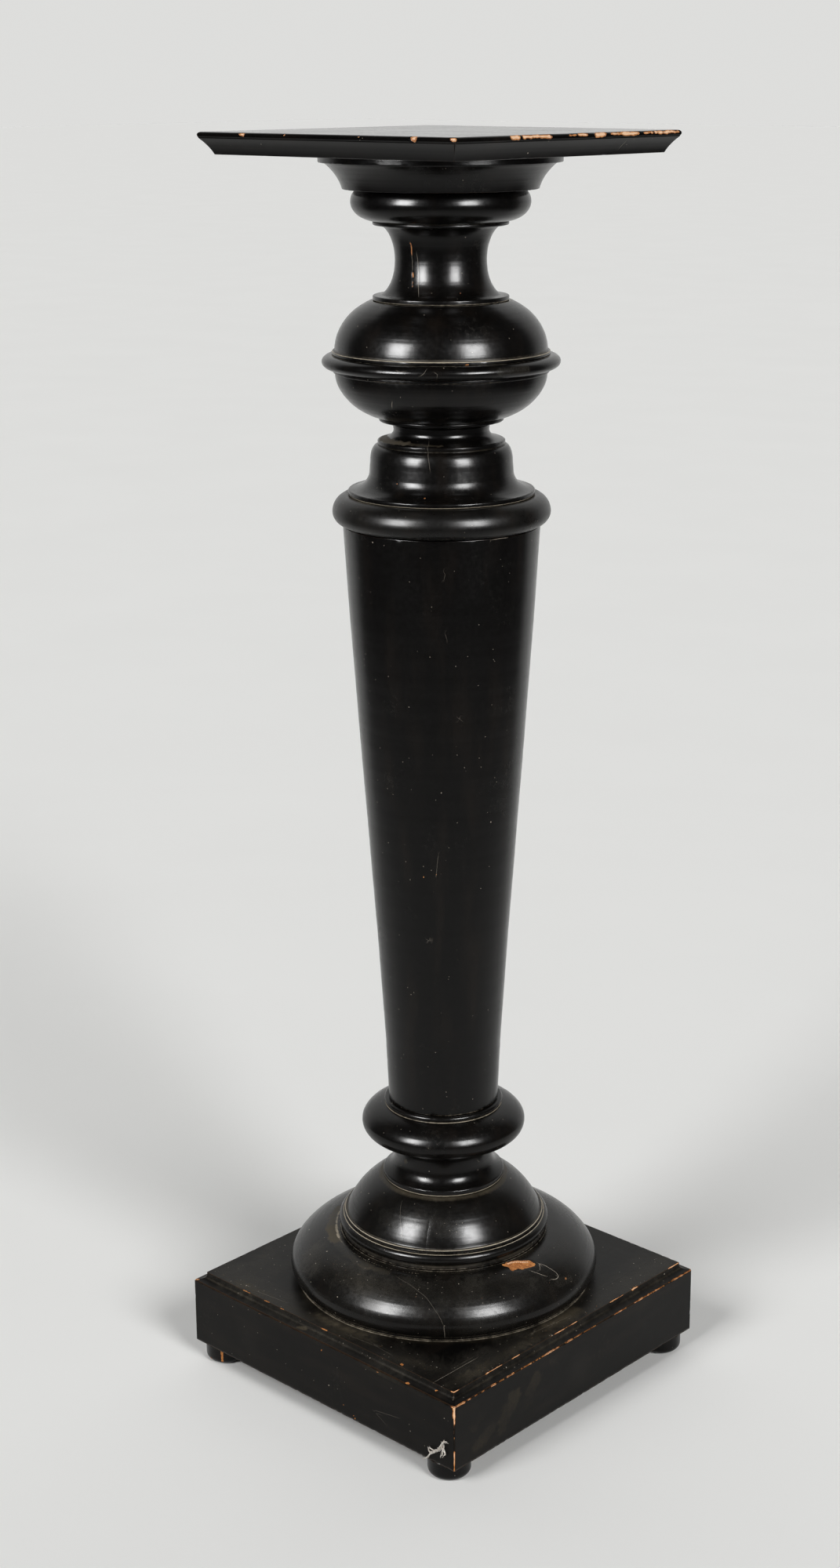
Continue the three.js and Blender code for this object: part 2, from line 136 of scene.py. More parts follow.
def unit(v):
    return v / max(np.linalg.norm(v), 1e-12)


def rounded(outline, softness):
    """The outline's points with each corner eased by up to softness, and whether each point is seen."""
    points, seen = [outline.runs[0][0][0]], [outline.runs[0][1]]
    for k, (run, shown) in enumerate(outline.runs):
        following = outline.runs[k + 1][0] if k + 1 < len(outline.runs) else None
        points.extend(run[1:-1])
        seen.extend([shown] * (len(run) - 2))
        corner = run[-1]
        if following is None:
            points.append(corner)
            seen.append(shown)
            continue
        before, after = unit(corner - run[-2]), unit(following[1] - corner)
        if before @ after > math.cos(math.radians(12)):
            points.append(corner)
            seen.append(shown)
            continue
        room = 0.45 * min(np.linalg.norm(corner - run[-2]), np.linalg.norm(following[1] - corner))
        ease = min(softness, room)
        start, end = corner - before * ease, corner + after * ease
        support = min(0.3 * ease, room - ease)
        if support > 0.01:
            points.append(start - before * support)
        for t in (0, 0.25, 0.5, 0.75, 1):
            points.append((1 - t) ** 2 * start + 2 * t * (1 - t) * corner + t * t * end)
        if support > 0.01:
            points.append(end + after * support)
        seen.extend([shown] * (len(points) - len(seen)))
    return np.array(points), np.array(seen)


def turning_of(points, closed):
    """Arc length, signed turning and outward normal at each point of a half-section."""
    ahead, behind = np.roll(points, -1, 0) - points, points - np.roll(points, 1, 0)
    if not closed:
        ahead[-1], behind[0] = behind[-1], ahead[0]
    turn = np.arctan2(behind[:, 0] * ahead[:, 1] - behind[:, 1] * ahead[:, 0], (behind * ahead).sum(1))
    along = np.concatenate([[0], np.cumsum(np.linalg.norm(np.diff(points, axis=0), axis=1))])
    tangent = behind / np.linalg.norm(behind, axis=1)[:, None]
    tangent += ahead / np.linalg.norm(ahead, axis=1)[:, None]
    tangent /= np.linalg.norm(tangent, axis=1)[:, None]
    return along, turn, np.stack([tangent[:, 1], -tangent[:, 0]], 1)


EASE = 0.4  # mm that the corners of an outline are eased by
EDGE_REACH, GROOVE_REACH = 0.35, 1.1  # mm that wear and dirt reach from them
CREASE = 0.12  # radians: an outline that turns more sharply than this at a point has an arris there


def creases(turn, along, reach):
    """How sharply an outline turns outwards at arrises near each point, fading over reach millimetres."""
    sharp = np.maximum(turn, 0) * (np.abs(turn) > CREASE)
    return (sharp[None, :] * np.exp(-np.abs(along[:, None] - along[None, :]) / reach)).sum(1)


# ---------- Directions round a section ----------


def on_unit_circle(degrees):
    angles = np.radians(degrees)
    return np.stack([np.cos(angles), np.sin(angles)], 1)


def quarter_turn(quarter):
    """The cosine and sine of a number of quarter turns."""
    return round(math.cos(quarter * math.pi / 2)), round(math.sin(quarter * math.pi / 2))


def round_directions(fine=0.6, coarse=1.8, half_width=80):
    """Unit directions round a circle, closer together on the side that shows its marks."""
    middle = CAMERA_AZIMUTH - 90
    near = np.arange(middle - half_width, middle + half_width, fine)
    count = round((360 - 2 * half_width) / coarse)
    rest = np.linspace(middle + half_width, middle - half_width + 360, count + 1)[:-1]
    return on_unit_circle(np.concatenate([near, rest]))


def square_directions(half, ease=0.8, step=1.6):
    """Directions round a square of half side 1, its corners eased, with each one's outward normal."""
    ease = ease / half
    count = round(2 * half / step)
    side = np.linspace(-1 + ease, 1 - ease, count + 1)
    flat = np.stack([np.ones_like(side), side], 1)
    level = np.tile([1.0, 0.0], (len(side), 1))
    bend_normal = on_unit_circle([15, 30, 45, 60, 75])
    bend = 1 - ease + ease * bend_normal
    places, normals = np.concatenate([flat, bend]), np.concatenate([level, bend_normal])
    all_places, all_normals = [], []
    for quarter in range(4):
        c, s = quarter_turn(quarter)
        spin = np.array([[c, s], [-s, c]])
        all_places.append(places @ spin)
        all_normals.append(normals @ spin)
    return np.concatenate(all_places), np.concatenate(all_normals)


# ---------- Meshes ----------


def grid_mesh(name, grid, fields, wrap_rows=False, wrap_columns=True, caps=False):
    """A mesh over a grid of points, with a float attribute for each of FIELDS."""
    rows, columns = grid.shape[:2]
    index = np.arange(rows * columns).reshape(rows, columns)
    if not wrap_rows:
        for end in (0, rows - 1):
            if np.ptp(grid[end], axis=0).max() < 1e-7:
                index[end] = index[end, 0]
    low = index if wrap_rows else index[:-1]
    high = np.roll(index, -1, 0) if wrap_rows else index[1:]
    if wrap_columns:
        low_next, high_next = np.roll(low, -1, 1), np.roll(high, -1, 1)
    else:
        low_next, high_next, low, high = low[:, 1:], high[:, 1:], low[:, :-1], high[:, :-1]
    quads = np.stack([low, low_next, high_next, high], -1).reshape(-1, 4)
    used, packed = np.unique(quads, return_inverse=True)
    packed = packed.reshape(-1, 4)
    whole = (quads[:, 0] != quads[:, 1]) & (quads[:, 2] != quads[:, 3])
    bottom = quads[:, 0] == quads[:, 1]
    top = quads[:, 2] == quads[:, 3]
    loops = [packed[whole].ravel(), packed[bottom][:, [0, 2, 3]].ravel(), packed[top][:, [0, 1, 2]].ravel()]
    sizes = [np.full(whole.sum(), 4), np.full(bottom.sum(), 3), np.full(top.sum(), 3)]
    if caps:
        place = np.full(rows * columns, -1)
        place[used] = np.arange(len(used))
        loops += [place[index[:, 0]], place[index[::-1, -1]]]
        sizes += [np.array([rows]), np.array([rows])]
    loops, sizes = np.concatenate(loops), np.concatenate(sizes)
    mesh = bpy.data.meshes.new(name)
    mesh.vertices.add(len(used))
    mesh.vertices.foreach_set("co", grid.reshape(-1, 3)[used].astype(np.float32).ravel())
    mesh.loops.add(len(loops))
    mesh.loops.foreach_set("vertex_index", loops.astype(np.int32))
    mesh.polygons.add(len(sizes))
    starts = np.concatenate([[0], np.cumsum(sizes)[:-1]])
    mesh.polygons.foreach_set("loop_start", starts.astype(np.int32))
    mesh.update(calc_edges=True)
    mesh.validate()
    mesh.shade_smooth()
    for key in FIELDS:
        attribute = mesh.attributes.new(key, "FLOAT", "POINT")
        attribute.data.foreach_set("value", fields[key].reshape(-1)[used].astype(np.float32))
    return mesh


def piece(name, mesh, material, slot, *nodes):
    """Puts a mesh in the scene as a piece that stands for CAD nodes."""
    made = bpy.data.objects.new(name, mesh)
    bpy.context.scene.collection.objects.link(made)
    mesh.materials.append(material)
    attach(made, "root")
    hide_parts(*nodes)
    return made


# ---------- Marks ----------
# A mark is (kind, path, amount) or (kind, path, amount, width). On a turned piece its path is in (azimuth,
# height): degrees round the axis, counted like the camera's azimuth, and millimetres above the floor. On a
# board or a rail it is in (x, y, z), in millimetres. A scratch or a crack is a line, and the other kinds are
# patches of the field of that name. A speckle is a patch of bare specks that doesn't hollow the surface.


def on_circle(azimuth, radius, height):
    a = math.radians(azimuth)
    return np.array([radius * math.sin(a), -radius * math.cos(a), height]) * MM


def dense_path(path, radius_at):
    """A path with points close together and its bends eased, in metres."""
    corners = np.array(path, float)
    at = np.linspace(0, len(corners) - 1, 24 * (len(corners) - 1) + 1)
    points = np.stack([np.interp(at, range(len(corners)), column) for column in corners.T], 1)
    if len(path) > 2:
        for _ in range(60):
            points[1:-1] = (points[:-2] + 2 * points[1:-1] + points[2:]) / 4
    if len(path[0]) == 3:
        return points * MM
    return np.array([on_circle(azimuth, radius_at(height), height) for azimuth, height in points])


def nearest(grid, path):
    """Distance in millimetres to a path's nearest point, and which point that is."""
    flat = grid.reshape(-1, 3)
    best, which = np.full(len(flat), 1e9), np.zeros(len(flat), int)
    low, high = path.min(0) - 25 * MM, path.max(0) + 25 * MM
    close = np.nonzero(((flat > low) & (flat < high)).all(1))[0]
    if len(close):
        apart = np.linalg.norm(flat[close][:, None] - path[None], axis=2) / MM
        which[close] = apart.argmin(1)
        best[close] = apart.min(1)
    return best.reshape(grid.shape[:2]), which.reshape(grid.shape[:2])


def blank_fields(shape):
    return {key: np.zeros(shape) for key in FIELDS} | {"line_apart": np.full(shape, 1e9)}


def draw_line(grid, normals, fields, path, apart, which, tone, reach=3.0):
    """A scratch or crack: the signed distance across it, and its tone, pale above 0 and dark under 0."""
    ahead = np.roll(path, -1, 0) - path
    ahead[-1] = ahead[-2]
    across = np.cross(normals, ahead[which])
    across /= np.maximum(np.linalg.norm(across, axis=2), 1e-12)[..., None]
    signed = ((grid - path[which]) * across).sum(2) / MM
    ends = np.minimum(which, len(path) - 1 - which) / max(len(path) * 0.15, 1)
    on = (apart < reach) & (apart < np.abs(signed) + 0.9) & (apart < fields["line_apart"])
    fading = np.minimum(0.35 + ends, 1) * (1 - smooth_step(0.55 * reach, 0.95 * reach, np.abs(signed)))
    fields["line"][on] = signed[on]
    fields["line_apart"][on] = apart[on]
    fields["line_tone"][on] = tone * fading[on]


def draw_patch(grid, fields, key, apart, width, strength=1.0):
    """A patch along a path: strength on it, fading to nothing at width millimetres."""
    ragged = apart + 0.22 * width * fuzz(grid, 2.5, 11) + 0.18 * width * fuzz(grid, 6, 12)
    fields[key] = np.maximum(fields[key], strength * (1 - smooth_step(0.35 * width, width, ragged)))


def draw_marks(grid, facing, fields, push, marks, radius_at=None):
    """Draws marks into the fields, and sinks cracks and bare patches into the surface."""
    for kind, path, amount, *width in marks:
        dense = dense_path(path, radius_at)
        apart, which = nearest(grid, dense)
        if kind in ("scratch", "crack"):
            tone = amount if kind == "scratch" else -amount
            draw_line(grid, facing, fields, dense, apart, which, tone)
            depth = 0.12 if kind == "crack" else 0.03
            push -= depth * MM * np.exp(-((apart / 0.9) ** 2))
        else:
            draw_patch(grid, fields, "bare" if kind == "speckle" else kind, apart, width[0], amount)
            if kind == "bare":
                push -= min(0.5, 0.15 * width[0]) * MM * (1 - smooth_step(0.4 * width[0], width[0], apart))


# ---------- Swept pieces ----------


def swept(outline, directions, normals, seat, closed, dirt, seed, ripple=0.03, wear=1.0):
    """Sweeps an outline round its axis. Dirt is (field, radius, height above the seat, strength, width)."""
    points, seen = rounded(outline, EASE)
    if closed:
        points, seen = points[:-1], seen[:-1]
    along, turn, section_normal = turning_of(points, closed)
    convex = creases(turn, along, EDGE_REACH)
    concave = creases(-turn, along, GROOVE_REACH)
    rows, columns = len(points), len(directions)
    radius, height = points[:, 0] * MM, points[:, 1] * MM + seat
    grid = np.empty((rows, columns, 3))
    grid[..., 0] = radius[:, None] * directions[None, :, 0]
    grid[..., 1] = radius[:, None] * directions[None, :, 1]
    grid[..., 2] = height[:, None]
    facing = np.empty_like(grid)
    facing[..., 0] = section_normal[:, :1] * normals[None, :, 0]
    facing[..., 1] = section_normal[:, :1] * normals[None, :, 1]
    facing[..., 2] = section_normal[:, 1:]
    fields = blank_fields((rows, columns))
    fields["edge"] += np.minimum(convex, 1.4)[:, None] * wear * seen[:, None]
    fields["grime"] += 0.5 * np.minimum(concave, 1.2)[:, None]
    for key, dirt_radius, dirt_height, strength, width in dirt:
        apart = np.hypot(points[:, 0] - dirt_radius, points[:, 1] - dirt_height)
        fields[key] += (strength * np.exp(-((apart / width) ** 2)))[:, None]
    wave = np.random.default_rng(seed)
    push = np.zeros(rows)
    for length, share in ((3.1, 0.35), (5.3, 0.45), (9.7, 0.6), (21.0, 0.8)):
        push += share * np.sin(2 * math.pi * (along / length + wave.random()))
    push = push * ripple * seen * MM
    uneven = fuzz(grid, 38, seed) * 0.10 + fuzz(grid, 11, seed + 1) * 0.035
    nicks = np.minimum(convex, 1.0)[:, None] * np.maximum(fuzz(grid, 3.2, seed + 2) - 0.25, 0) * 0.5 * wear
    push = push[:, None] + (uneven - nicks) * seen[:, None] * MM * min(1.0, ripple / 0.03)
    return grid, facing, fields, push, points


def radius_finder(points, seat):
    """Radius in millimetres of the outer surface at a height above the floor, in millimetres."""
    outer = points[points[:, 0] > 30]
    low, high = outer[:-1], outer[1:]

    def radius_at(height):
        level = height - seat / MM
        crossed = (low[:, 1] - level) * (high[:, 1] - level) <= 0
        if not crossed.any():
            return outer[np.abs(outer[:, 1] - level).argmin(), 0]
        rise = (high - low)[crossed]
        share = np.clip((level - low[crossed, 1]) / np.where(rise[:, 1] == 0, 1, rise[:, 1]), 0, 1)
        return (low[crossed, 0] + share * rise[:, 0]).max()

    return radius_at


def turned(node, outline_of, closed=False, directions=None, dirt=(), marks=(), haze=0.0, seed=1, look=None):
    """A turned section, in place of its CAD node."""
    outline, around = outline_of(tall[node]), plain_round if directions is None else directions
    grid, facing, fields, push, points = swept(outline, around, around, seat[node], closed, dirt, seed)
    fields["haze"] += haze * (0.75 + 0.5 * fuzz(grid, 40, seed + 5))
    draw_marks(grid, facing, fields, push, marks, radius_finder(points, seat[node]))
    grid = grid + facing * push[..., None]
    if not closed:
        for end in (0, -1):
            grid[end] = grid[end].mean(0)
    name = f"{node}_turning"
    mesh = grid_mesh(name, grid, fields, wrap_rows=closed)
    piece(name, mesh, look or ebony_turned, "ebonised_turning", node)


# ---------- Materials ----------


class Nodes:
    """Short names for building the nodes of a material or world."""

    def __init__(self, owner):
        owner.use_nodes = True
        self.owner, self.tree = owner, owner.node_tree
        self.tree.nodes.clear()

    def make(self, kind, inputs=None, **settings):
        node = self.tree.nodes.new(kind)
        for key, value in settings.items():
            setattr(node, key, value)
        for key, value in (inputs or {}).items():
            self.put(node.inputs[key], value)
        return node

    def put(self, socket, value):
        if isinstance(value, bpy.types.NodeSocket):
            self.tree.links.new(value, socket)
        else:
            socket.default_value = value

    def math(self, operation, a, b=0.0, clamp=False):
        node = self.make("ShaderNodeMath", {0: a, 1: b}, operation=operation, use_clamp=clamp)
        return node.outputs[0]

    def times(self, a, b, clamp=False):
        return self.math("MULTIPLY", a, b, clamp)

    def plus(self, a, b, clamp=False):
        return self.math("ADD", a, b, clamp)

    def minus(self, a, b):
        return self.math("SUBTRACT", a, b)

    def most(self, a, b):
        return self.math("MAXIMUM", a, b)

    def size(self, a):
        return self.math("ABSOLUTE", a)

    def ramp(self, value, low, high, start=0.0, end=1.0):
        inputs = {0: value, 1: low, 2: high, 3: start, 4: end}
        return self.make("ShaderNodeMapRange", inputs, interpolation_type="SMOOTHSTEP").outputs[0]

    def fade(self, value, low, high):
        """1 up to low, and 0 from high on."""
        return self.minus(1.0, self.ramp(value, low, high))

    def along(self, vector, direction):
        inputs = {0: vector, 1: direction}
        return self.make("ShaderNodeVectorMath", inputs, operation="DOT_PRODUCT").outputs["Value"]

    def mix(self, share, a, b):
        node = self.make("ShaderNodeMix", data_type="RGBA")
        self.put(node.inputs[0], share)
        self.put(node.inputs[6], a)
        self.put(node.inputs[7], b)
        return node.outputs[2]

    def noise(self, vector, scale, detail, roughness):
        inputs = {"Vector": vector, "Scale": scale, "Detail": detail, "Roughness": roughness}
        return self.make("ShaderNodeTexNoise", inputs).outputs["Fac"]

    def field(self, name):
        return self.make("ShaderNodeAttribute", attribute_name=name).outputs["Fac"]

    def place(self):
        return self.make("ShaderNodeTexCoord").outputs["Object"]

    def stretched(self, vector, x, y, z):
        inputs = {0: vector, 1: (x, y, z)}
        return self.make("ShaderNodeVectorMath", inputs, operation="MULTIPLY").outputs[0]

    def rings(self, vector):
        """A place as (distance from the axis, angle, height), so that noise on it runs round the axis."""
        x, y, z = self.make("ShaderNodeSeparateXYZ", {0: vector}).outputs
        radius = self.math("SQRT", self.plus(self.times(x, x), self.times(y, y)))
        angle = self.times(self.math("ARCTAN2", y, x), 0.004)
        return self.make("ShaderNodeCombineXYZ", {0: radius, 1: angle, 2: z}).outputs[0], radius

    def finish(self, shader):
        self.make("ShaderNodeOutputMaterial", {"Surface": shader})
        return self.owner

    def surface(self, colour, rough, height, strength, depth, more=None):
        """The finished material: a Principled shader with a bump of this strength and depth."""
        bump = self.make("ShaderNodeBump", {"Strength": strength, "Distance": depth, "Height": height})
        inputs = {"Base Color": colour, "Roughness": rough, "Normal": bump.outputs[0]} | (more or {})
        return self.finish(self.make("ShaderNodeBsdfPrincipled", inputs).outputs[0])


def nodes_of(name):
    """The nodes of a new material."""
    return Nodes(bpy.data.materials.new(name))


BLACK = (0.0022, 0.0019, 0.0017, 1)
BROWN_BLACK = (0.0070, 0.0052, 0.0040, 1)
RUBBED = (0.050, 0.026, 0.012, 1)
BARE_DARK = (0.30, 0.088, 0.018, 1)
BARE = (0.62, 0.255, 0.07, 1)
FRESH_BARE = (0.91, 0.59, 0.37, 1)
TAN_DUST = (0.085, 0.068, 0.042, 1)
TRIM_DUST = (0.52, 0.45, 0.34, 1)
GREY_SCUFF = (0.040, 0.036, 0.029, 1)
PALE_LINE = (0.50, 0.44, 0.36, 1)
DARK_LINE = (0.0008, 0.0007, 0.0006, 1)
WHITE = (1, 1, 1, 1)
WARM = (1, 0.96, 0.89, 1)  # the shine of the old finish on the plinth
# Pale specks: cells in a metre, size in a cell, the lot above which one shows, how far dust helps, strength
SPECKS = ((75.0, 0.055, 0.965, 0.55, 0.75), (150.0, 0.09, 0.975, 0.42, 0.55), (330.0, 0.16, 0.965, 0.2, 0.4))


def ebony(name, turned_work, roughness, grain_axis=2, dusty=0.4, ring=None, ior=1.30, sheen=WHITE):
    """Black-stained polished wood. The mesh's fields place its wear, dust, bare patches and scratches."""
    n = nodes_of(name)
    times, plus, minus, most, ramp, fade, size = n.times, n.plus, n.minus, n.most, n.ramp, n.fade, n.size
    place = n.place()

    def along_grain(across, along, detail, rough):
        scale = [across] * 3
        scale[grain_axis] = along
        return n.noise(n.stretched(place, *scale), 1.0, detail, rough)

    grain = along_grain(900.0, 45.0, 3.0, 0.6)
    broad = along_grain(60.0, 9.0, 4.0, 0.55)
    clouds = n.noise(place, 22.0, 3.0, 0.55)
    small = n.noise(place, 260.0, 3.0, 0.6)
    tiny = n.noise(place, 1400.0, 2.0, 0.6)
    swing = minus(small, 0.5)

    edge, grime, trim, bare, haze, line, tone = (n.field(key) for key in FIELDS)
    round_place, radius = n.rings(place)
    if ring:
        # Dust that lies round the foot of the turned base
        from_ring = size(minus(radius, ring))
        trim = most(trim, times(fade(from_ring, 0.0004, 0.0017), 0.72))
        grime = plus(grime, times(fade(from_ring, 0.001, 0.016), 0.55))

    colour = n.mix(ramp(broad, 0.45, 0.8), BLACK, BROWN_BLACK)
    # Scuffs and dust that lie all over
    scuffed = times(ramp(clouds, 0.5, 0.8), ramp(small, 0.45, 0.8, 0.0, dusty))
    scuffed = plus(scuffed, times(haze, ramp(clouds, 0.3, 0.7, 0.25, 1.0)), True)
    scuff = times(scuffed, ramp(tiny, 0.35, 0.65, 0.4, 1.0), True)
    colour = n.mix(scuff, colour, GREY_SCUFF)
    # Wear that rubs the arrises brown
    rubbed = ramp(times(edge, plus(times(clouds, 0.9), times(small, 0.5))), 0.45, 1.0)
    colour = n.mix(times(rubbed, 0.6), colour, RUBBED)
    # Dust in the grooves: a soft patchy halo, and a thin pale line along the joint
    dirty = ramp(times(grime, plus(times(clouds, 1.1), times(small, 0.4))), 0.25, 1.0)
    dirty = times(dirty, ramp(tiny, 0.25, 0.6, 0.45, 0.95))
    colour = n.mix(dirty, colour, TAN_DUST)
    trimmed = ramp(times(trim, plus(clouds, times(small, 0.9))), 0.42, 0.95)
    colour = n.mix(times(trimmed, ramp(tiny, 0.2, 0.55, 0.5, 0.9)), colour, TRIM_DUST)
    # Bare wood
    gone = ramp(plus(bare, plus(times(swing, 0.6), times(tiny, 0.5))), 0.68, 0.80)
    wood = n.mix(ramp(plus(times(tiny, 0.5), times(small, 0.5)), 0.42, 0.58), BARE_DARK, BARE)
    wood = n.mix(ramp(bare, 1.02, 1.3), wood, FRESH_BARE)
    colour = n.mix(gone, colour, wood)
    # Scratches and cracks
    thin = fade(size(plus(line, times(swing, 0.7))), 0.14, 0.32)
    colour = n.mix(times(thin, most(tone, 0.0), True), colour, PALE_LINE)
    colour = n.mix(times(thin, most(times(tone, -1.0), 0.0), True), colour, DARK_LINE)
    for cells, speck, least, gathered, share in SPECKS:
        specks = n.make("ShaderNodeTexVoronoi", {"Vector": place, "Scale": cells}, feature="F1")
        lot = n.make("ShaderNodeSeparateColor", {0: specks.outputs["Color"]}).outputs[0]
        few = n.math("GREATER_THAN", plus(lot, times(haze, gathered)), least)
        close = fade(specks.outputs["Distance"], speck * 0.6, speck)
        colour = n.mix(times(times(close, few), share), colour, PALE_LINE)

    rough = plus(times(minus(clouds, 0.5), 0.10), roughness)
    rough = plus(plus(rough, times(swing, 0.16)), times(scuff, 0.12))
    rough = plus(rough, times(most(gone, most(dirty, trimmed)), 0.45), True)

    height = times(grain, 0.30)
    if turned_work:
        rings = n.noise(n.stretched(round_place, 1500.0, 1.0, 1500.0), 1.0, 2.0, 0.6)
        height = plus(height, times(rings, 0.7))
    height = plus(plus(height, times(small, 0.35)), times(tiny, 0.12))
    height = minus(minus(height, times(gone, 3.0)), times(thin, size(tone)))
    return n.surface(colour, rough, height, 0.6, 0.00006, {"IOR": ior, "Specular Tint": sheen})


RING = 0.1363  # metres: radius of the foot of the base torus
ebony_turned = ebony("ebonised_turning", True, 0.23)
ebony_worn = ebony("ebonised_turning_worn", True, 0.30, dusty=0.7)
ebony_board = ebony("ebonised_board", False, 0.34, grain_axis=1, dusty=0.6, ring=RING, ior=1.225, sheen=WARM)
ebony_top = ebony("ebonised_top", False, 0.13, grain_axis=0, dusty=0.15)
ebony_rail = ebony("ebonised_rail", False, 0.36, grain_axis=0, dusty=0.6, ior=1.215, sheen=WARM)


# ---------- Where the sections sit ----------

SECTIONS = ("base_torus", "dome", "lower_knop", "shaft", "collar", "bell", "lower_ball", "ball_band")
SECTIONS += ("upper_ball", "neck", "top_flange", "top_board")
ON_A_TENON = {"dome": "base_torus", "lower_knop": "dome", "bell": "collar", "neck": "upper_ball"}


def seat_of(node):
    """Height of a section's seat, in metres. A section with a tenon under it is seated on its neighbour."""
    if node in ON_A_TENON:
        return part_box(ON_A_TENON[node])[1].z + GAP * MM
    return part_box(node)[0].z


seat = {node: seat_of(node) for node in SECTIONS}
tall = {low: (seat[high] - seat[low]) / MM for low, high in zip(SECTIONS, SECTIONS[1:])}

SLIM, SLIM_DEPTH = 14, 24  # tenon radius and length
WIDE, WIDE_DEPTH = 30, 30
BASE_DEPTH = 20
BALL, BALL_DEPTH = 40, 22
SPARE = 1  # a socket is this much deeper than its tenon


def flange_outline(height):
    top = height - GAP
    line = Outline(SLIM + GAP, 0).inside(74, 0).line(80.9, 0)
    line.curve((84, 11.5), (95.5, 20.7)).line(95.8, 21.2).line(99.9, 21.2).line(100.4, 21.8)
    return line.line(100.4, top).inside(SLIM + GAP, top).inside(SLIM + GAP, 0)


def neck_outline(height):
    line = Outline(0, -SLIM_DEPTH).inside(SLIM, -SLIM_DEPTH).inside(SLIM, 0).inside(50, 0)
    line.line(56.2, 0).line(56.7, 0.6).line(56.7, 3.3).line(56, 4)
    line.arc(53.9, 32.5, 15.8, 29, 255, 105)
    line.line(55.8, 60.8).line(56.4, 61.6).line(56.4, 63)
    line.arc(53.1, 79.6, 21.3, 15.9, -83, 37.6)
    line.inside(SLIM, height - GAP)
    return line.inside(SLIM, height + SLIM_DEPTH).inside(0, height + SLIM_DEPTH)


def upper_ball_outline(height):
    recess = BALL_DEPTH - tall["ball_band"] + SPARE
    line = Outline(SLIM + GAP, recess).inside(BALL + GAP, recess).inside(BALL + GAP, 0).inside(86, 0)
    line.line(90.9, 0).line(91.2, 0.3).line(91.2, 2.6).line(90.6, 2.9).line(89.5, 2.8).line(89.1, 3.6)
    line.curve((88.8, 18), (79.5, 35), (58.5, height - GAP))
    return line.inside(SLIM + GAP, height - GAP).inside(SLIM + GAP, recess)


def band_outline(height):
    half = (height - GAP) / 2
    line = Outline(BALL + GAP, 0).inside(86, 0).line(91.3, 0)
    line.arc(91.3, half, 8.6, half, -90, 90).line(86, 2 * half)
    return line.inside(BALL + GAP, 2 * half).inside(BALL + GAP, 0)


def lower_ball_outline(height):
    top = height - GAP
    tenon_top = top + BALL_DEPTH
    floor = height + tall["ball_band"] - SLIM_DEPTH - SPARE
    roof = SLIM_DEPTH + SPARE
    line = Outline(0, roof).inside(SLIM + GAP, roof).inside(SLIM + GAP, 0).inside(46, 0)
    line.line(52, 0).line(52.5, 0.6).line(52.5, 2.4).line(51.8, 3).line(53.5, 3.3)
    line.curve((73, 8), (89.2, 25), (88.9, 40.4)).line(90.6, 41).line(90.6, top).line(86, top)
    line.inside(BALL, top).inside(BALL, tenon_top).inside(SLIM + GAP, tenon_top)
    return line.inside(SLIM + GAP, floor).inside(0, floor)


def bell_outline(height):
    bottom = -tall["collar"] - WIDE_DEPTH
    line = Outline(0, bottom).inside(WIDE, bottom).inside(WIDE, 0).inside(72, 0)
    line.line(78.7, 0).line(79.3, 0.7).line(79.3, 3.2).line(78.5, 4.1).line(76.6, 4.3)
    line.curve((70, 5.2), (61.5, 9.5), (61, 19)).line(60.3, 29)
    line.curve((59.8, 36.5), (58, 40.5), (54.6, 42)).line(53.4, 42.2)
    line.line(53.9, 42.9).line(53.9, 45.6).line(52.8, 46.3)
    line.curve((44.5, 47.6), (40.6, 50), (40.4, 54.5)).line(41, 58.6).line(44.5, height - GAP)
    line.inside(SLIM, height - GAP).inside(SLIM, height + SLIM_DEPTH)
    return line.inside(0, height + SLIM_DEPTH)


def collar_outline(height):
    line = Outline(WIDE + GAP, 0).inside(74, 0).line(80.9, 0)
    line.arc(80.9, 11, 12, 11, -90, 0).arc(78, 11, 14.9, 14.8, 0, 75)
    line.line(81, height - GAP)
    return line.inside(WIDE + GAP, height - GAP).inside(WIDE + GAP, 0)


def shaft_outline(height):
    top = height - GAP
    roof, floor = SLIM_DEPTH + SPARE, height - WIDE_DEPTH - SPARE
    line = Outline(0, roof).inside(SLIM + GAP, roof).inside(SLIM + GAP, 0).inside(44, 0).line(49.6, 0)
    for radius, level in ((51.9, 54), (58.3, 155), (69, 302), (79.5, 450), (84.2, top)):
        line.line(radius, level, step=3.2)
    return line.line(78, top).inside(WIDE + GAP, top).inside(WIDE + GAP, floor).inside(0, floor)


def knop_outline(height):
    line = Outline(0, -SLIM_DEPTH).inside(SLIM, -SLIM_DEPTH).inside(SLIM, 0).inside(49, 0)
    line.line(55, 0).line(55.4, 0.7).line(55.4, 4.7).line(54.6, 5.5)
    line.curve((47.5, 9.5), (45.2, 14), (45.2, 21)).curve((45.2, 30), (48, 37), (55, 39.6))
    line.arc(61, 53.7, 13.4, 12.9, -110, 0).curve((74.4, 61.1), (67.5, 67.4), (54.6, 71.3)).line(53, 71.6)
    line.arc(51.2, 74.1, 2.9, 2.6, -50, 80).inside(SLIM, height - GAP)
    return line.inside(SLIM, height + SLIM_DEPTH).inside(0, height + SLIM_DEPTH)


def dome_outline(height):
    floor = height - SLIM_DEPTH - SPARE
    line = Outline(0, -BASE_DEPTH).inside(WIDE, -BASE_DEPTH).inside(WIDE, 0).inside(87, 0)
    line.line(94, 0).line(92.8, 3.4).arc(91.6, 9.2, 5.1, 5.3, -75, 72)
    line.line(90.6, 14.7).line(91.4, 15.4).line(91.4, 17.4).line(90.9, 17.9).line(89.4, 17.8).line(89, 18.5)
    line.curve((84.4, 29.5), (71.5, 47), (55.5, height - GAP))
    return line.inside(SLIM + GAP, height - GAP).inside(SLIM + GAP, floor).inside(0, floor)


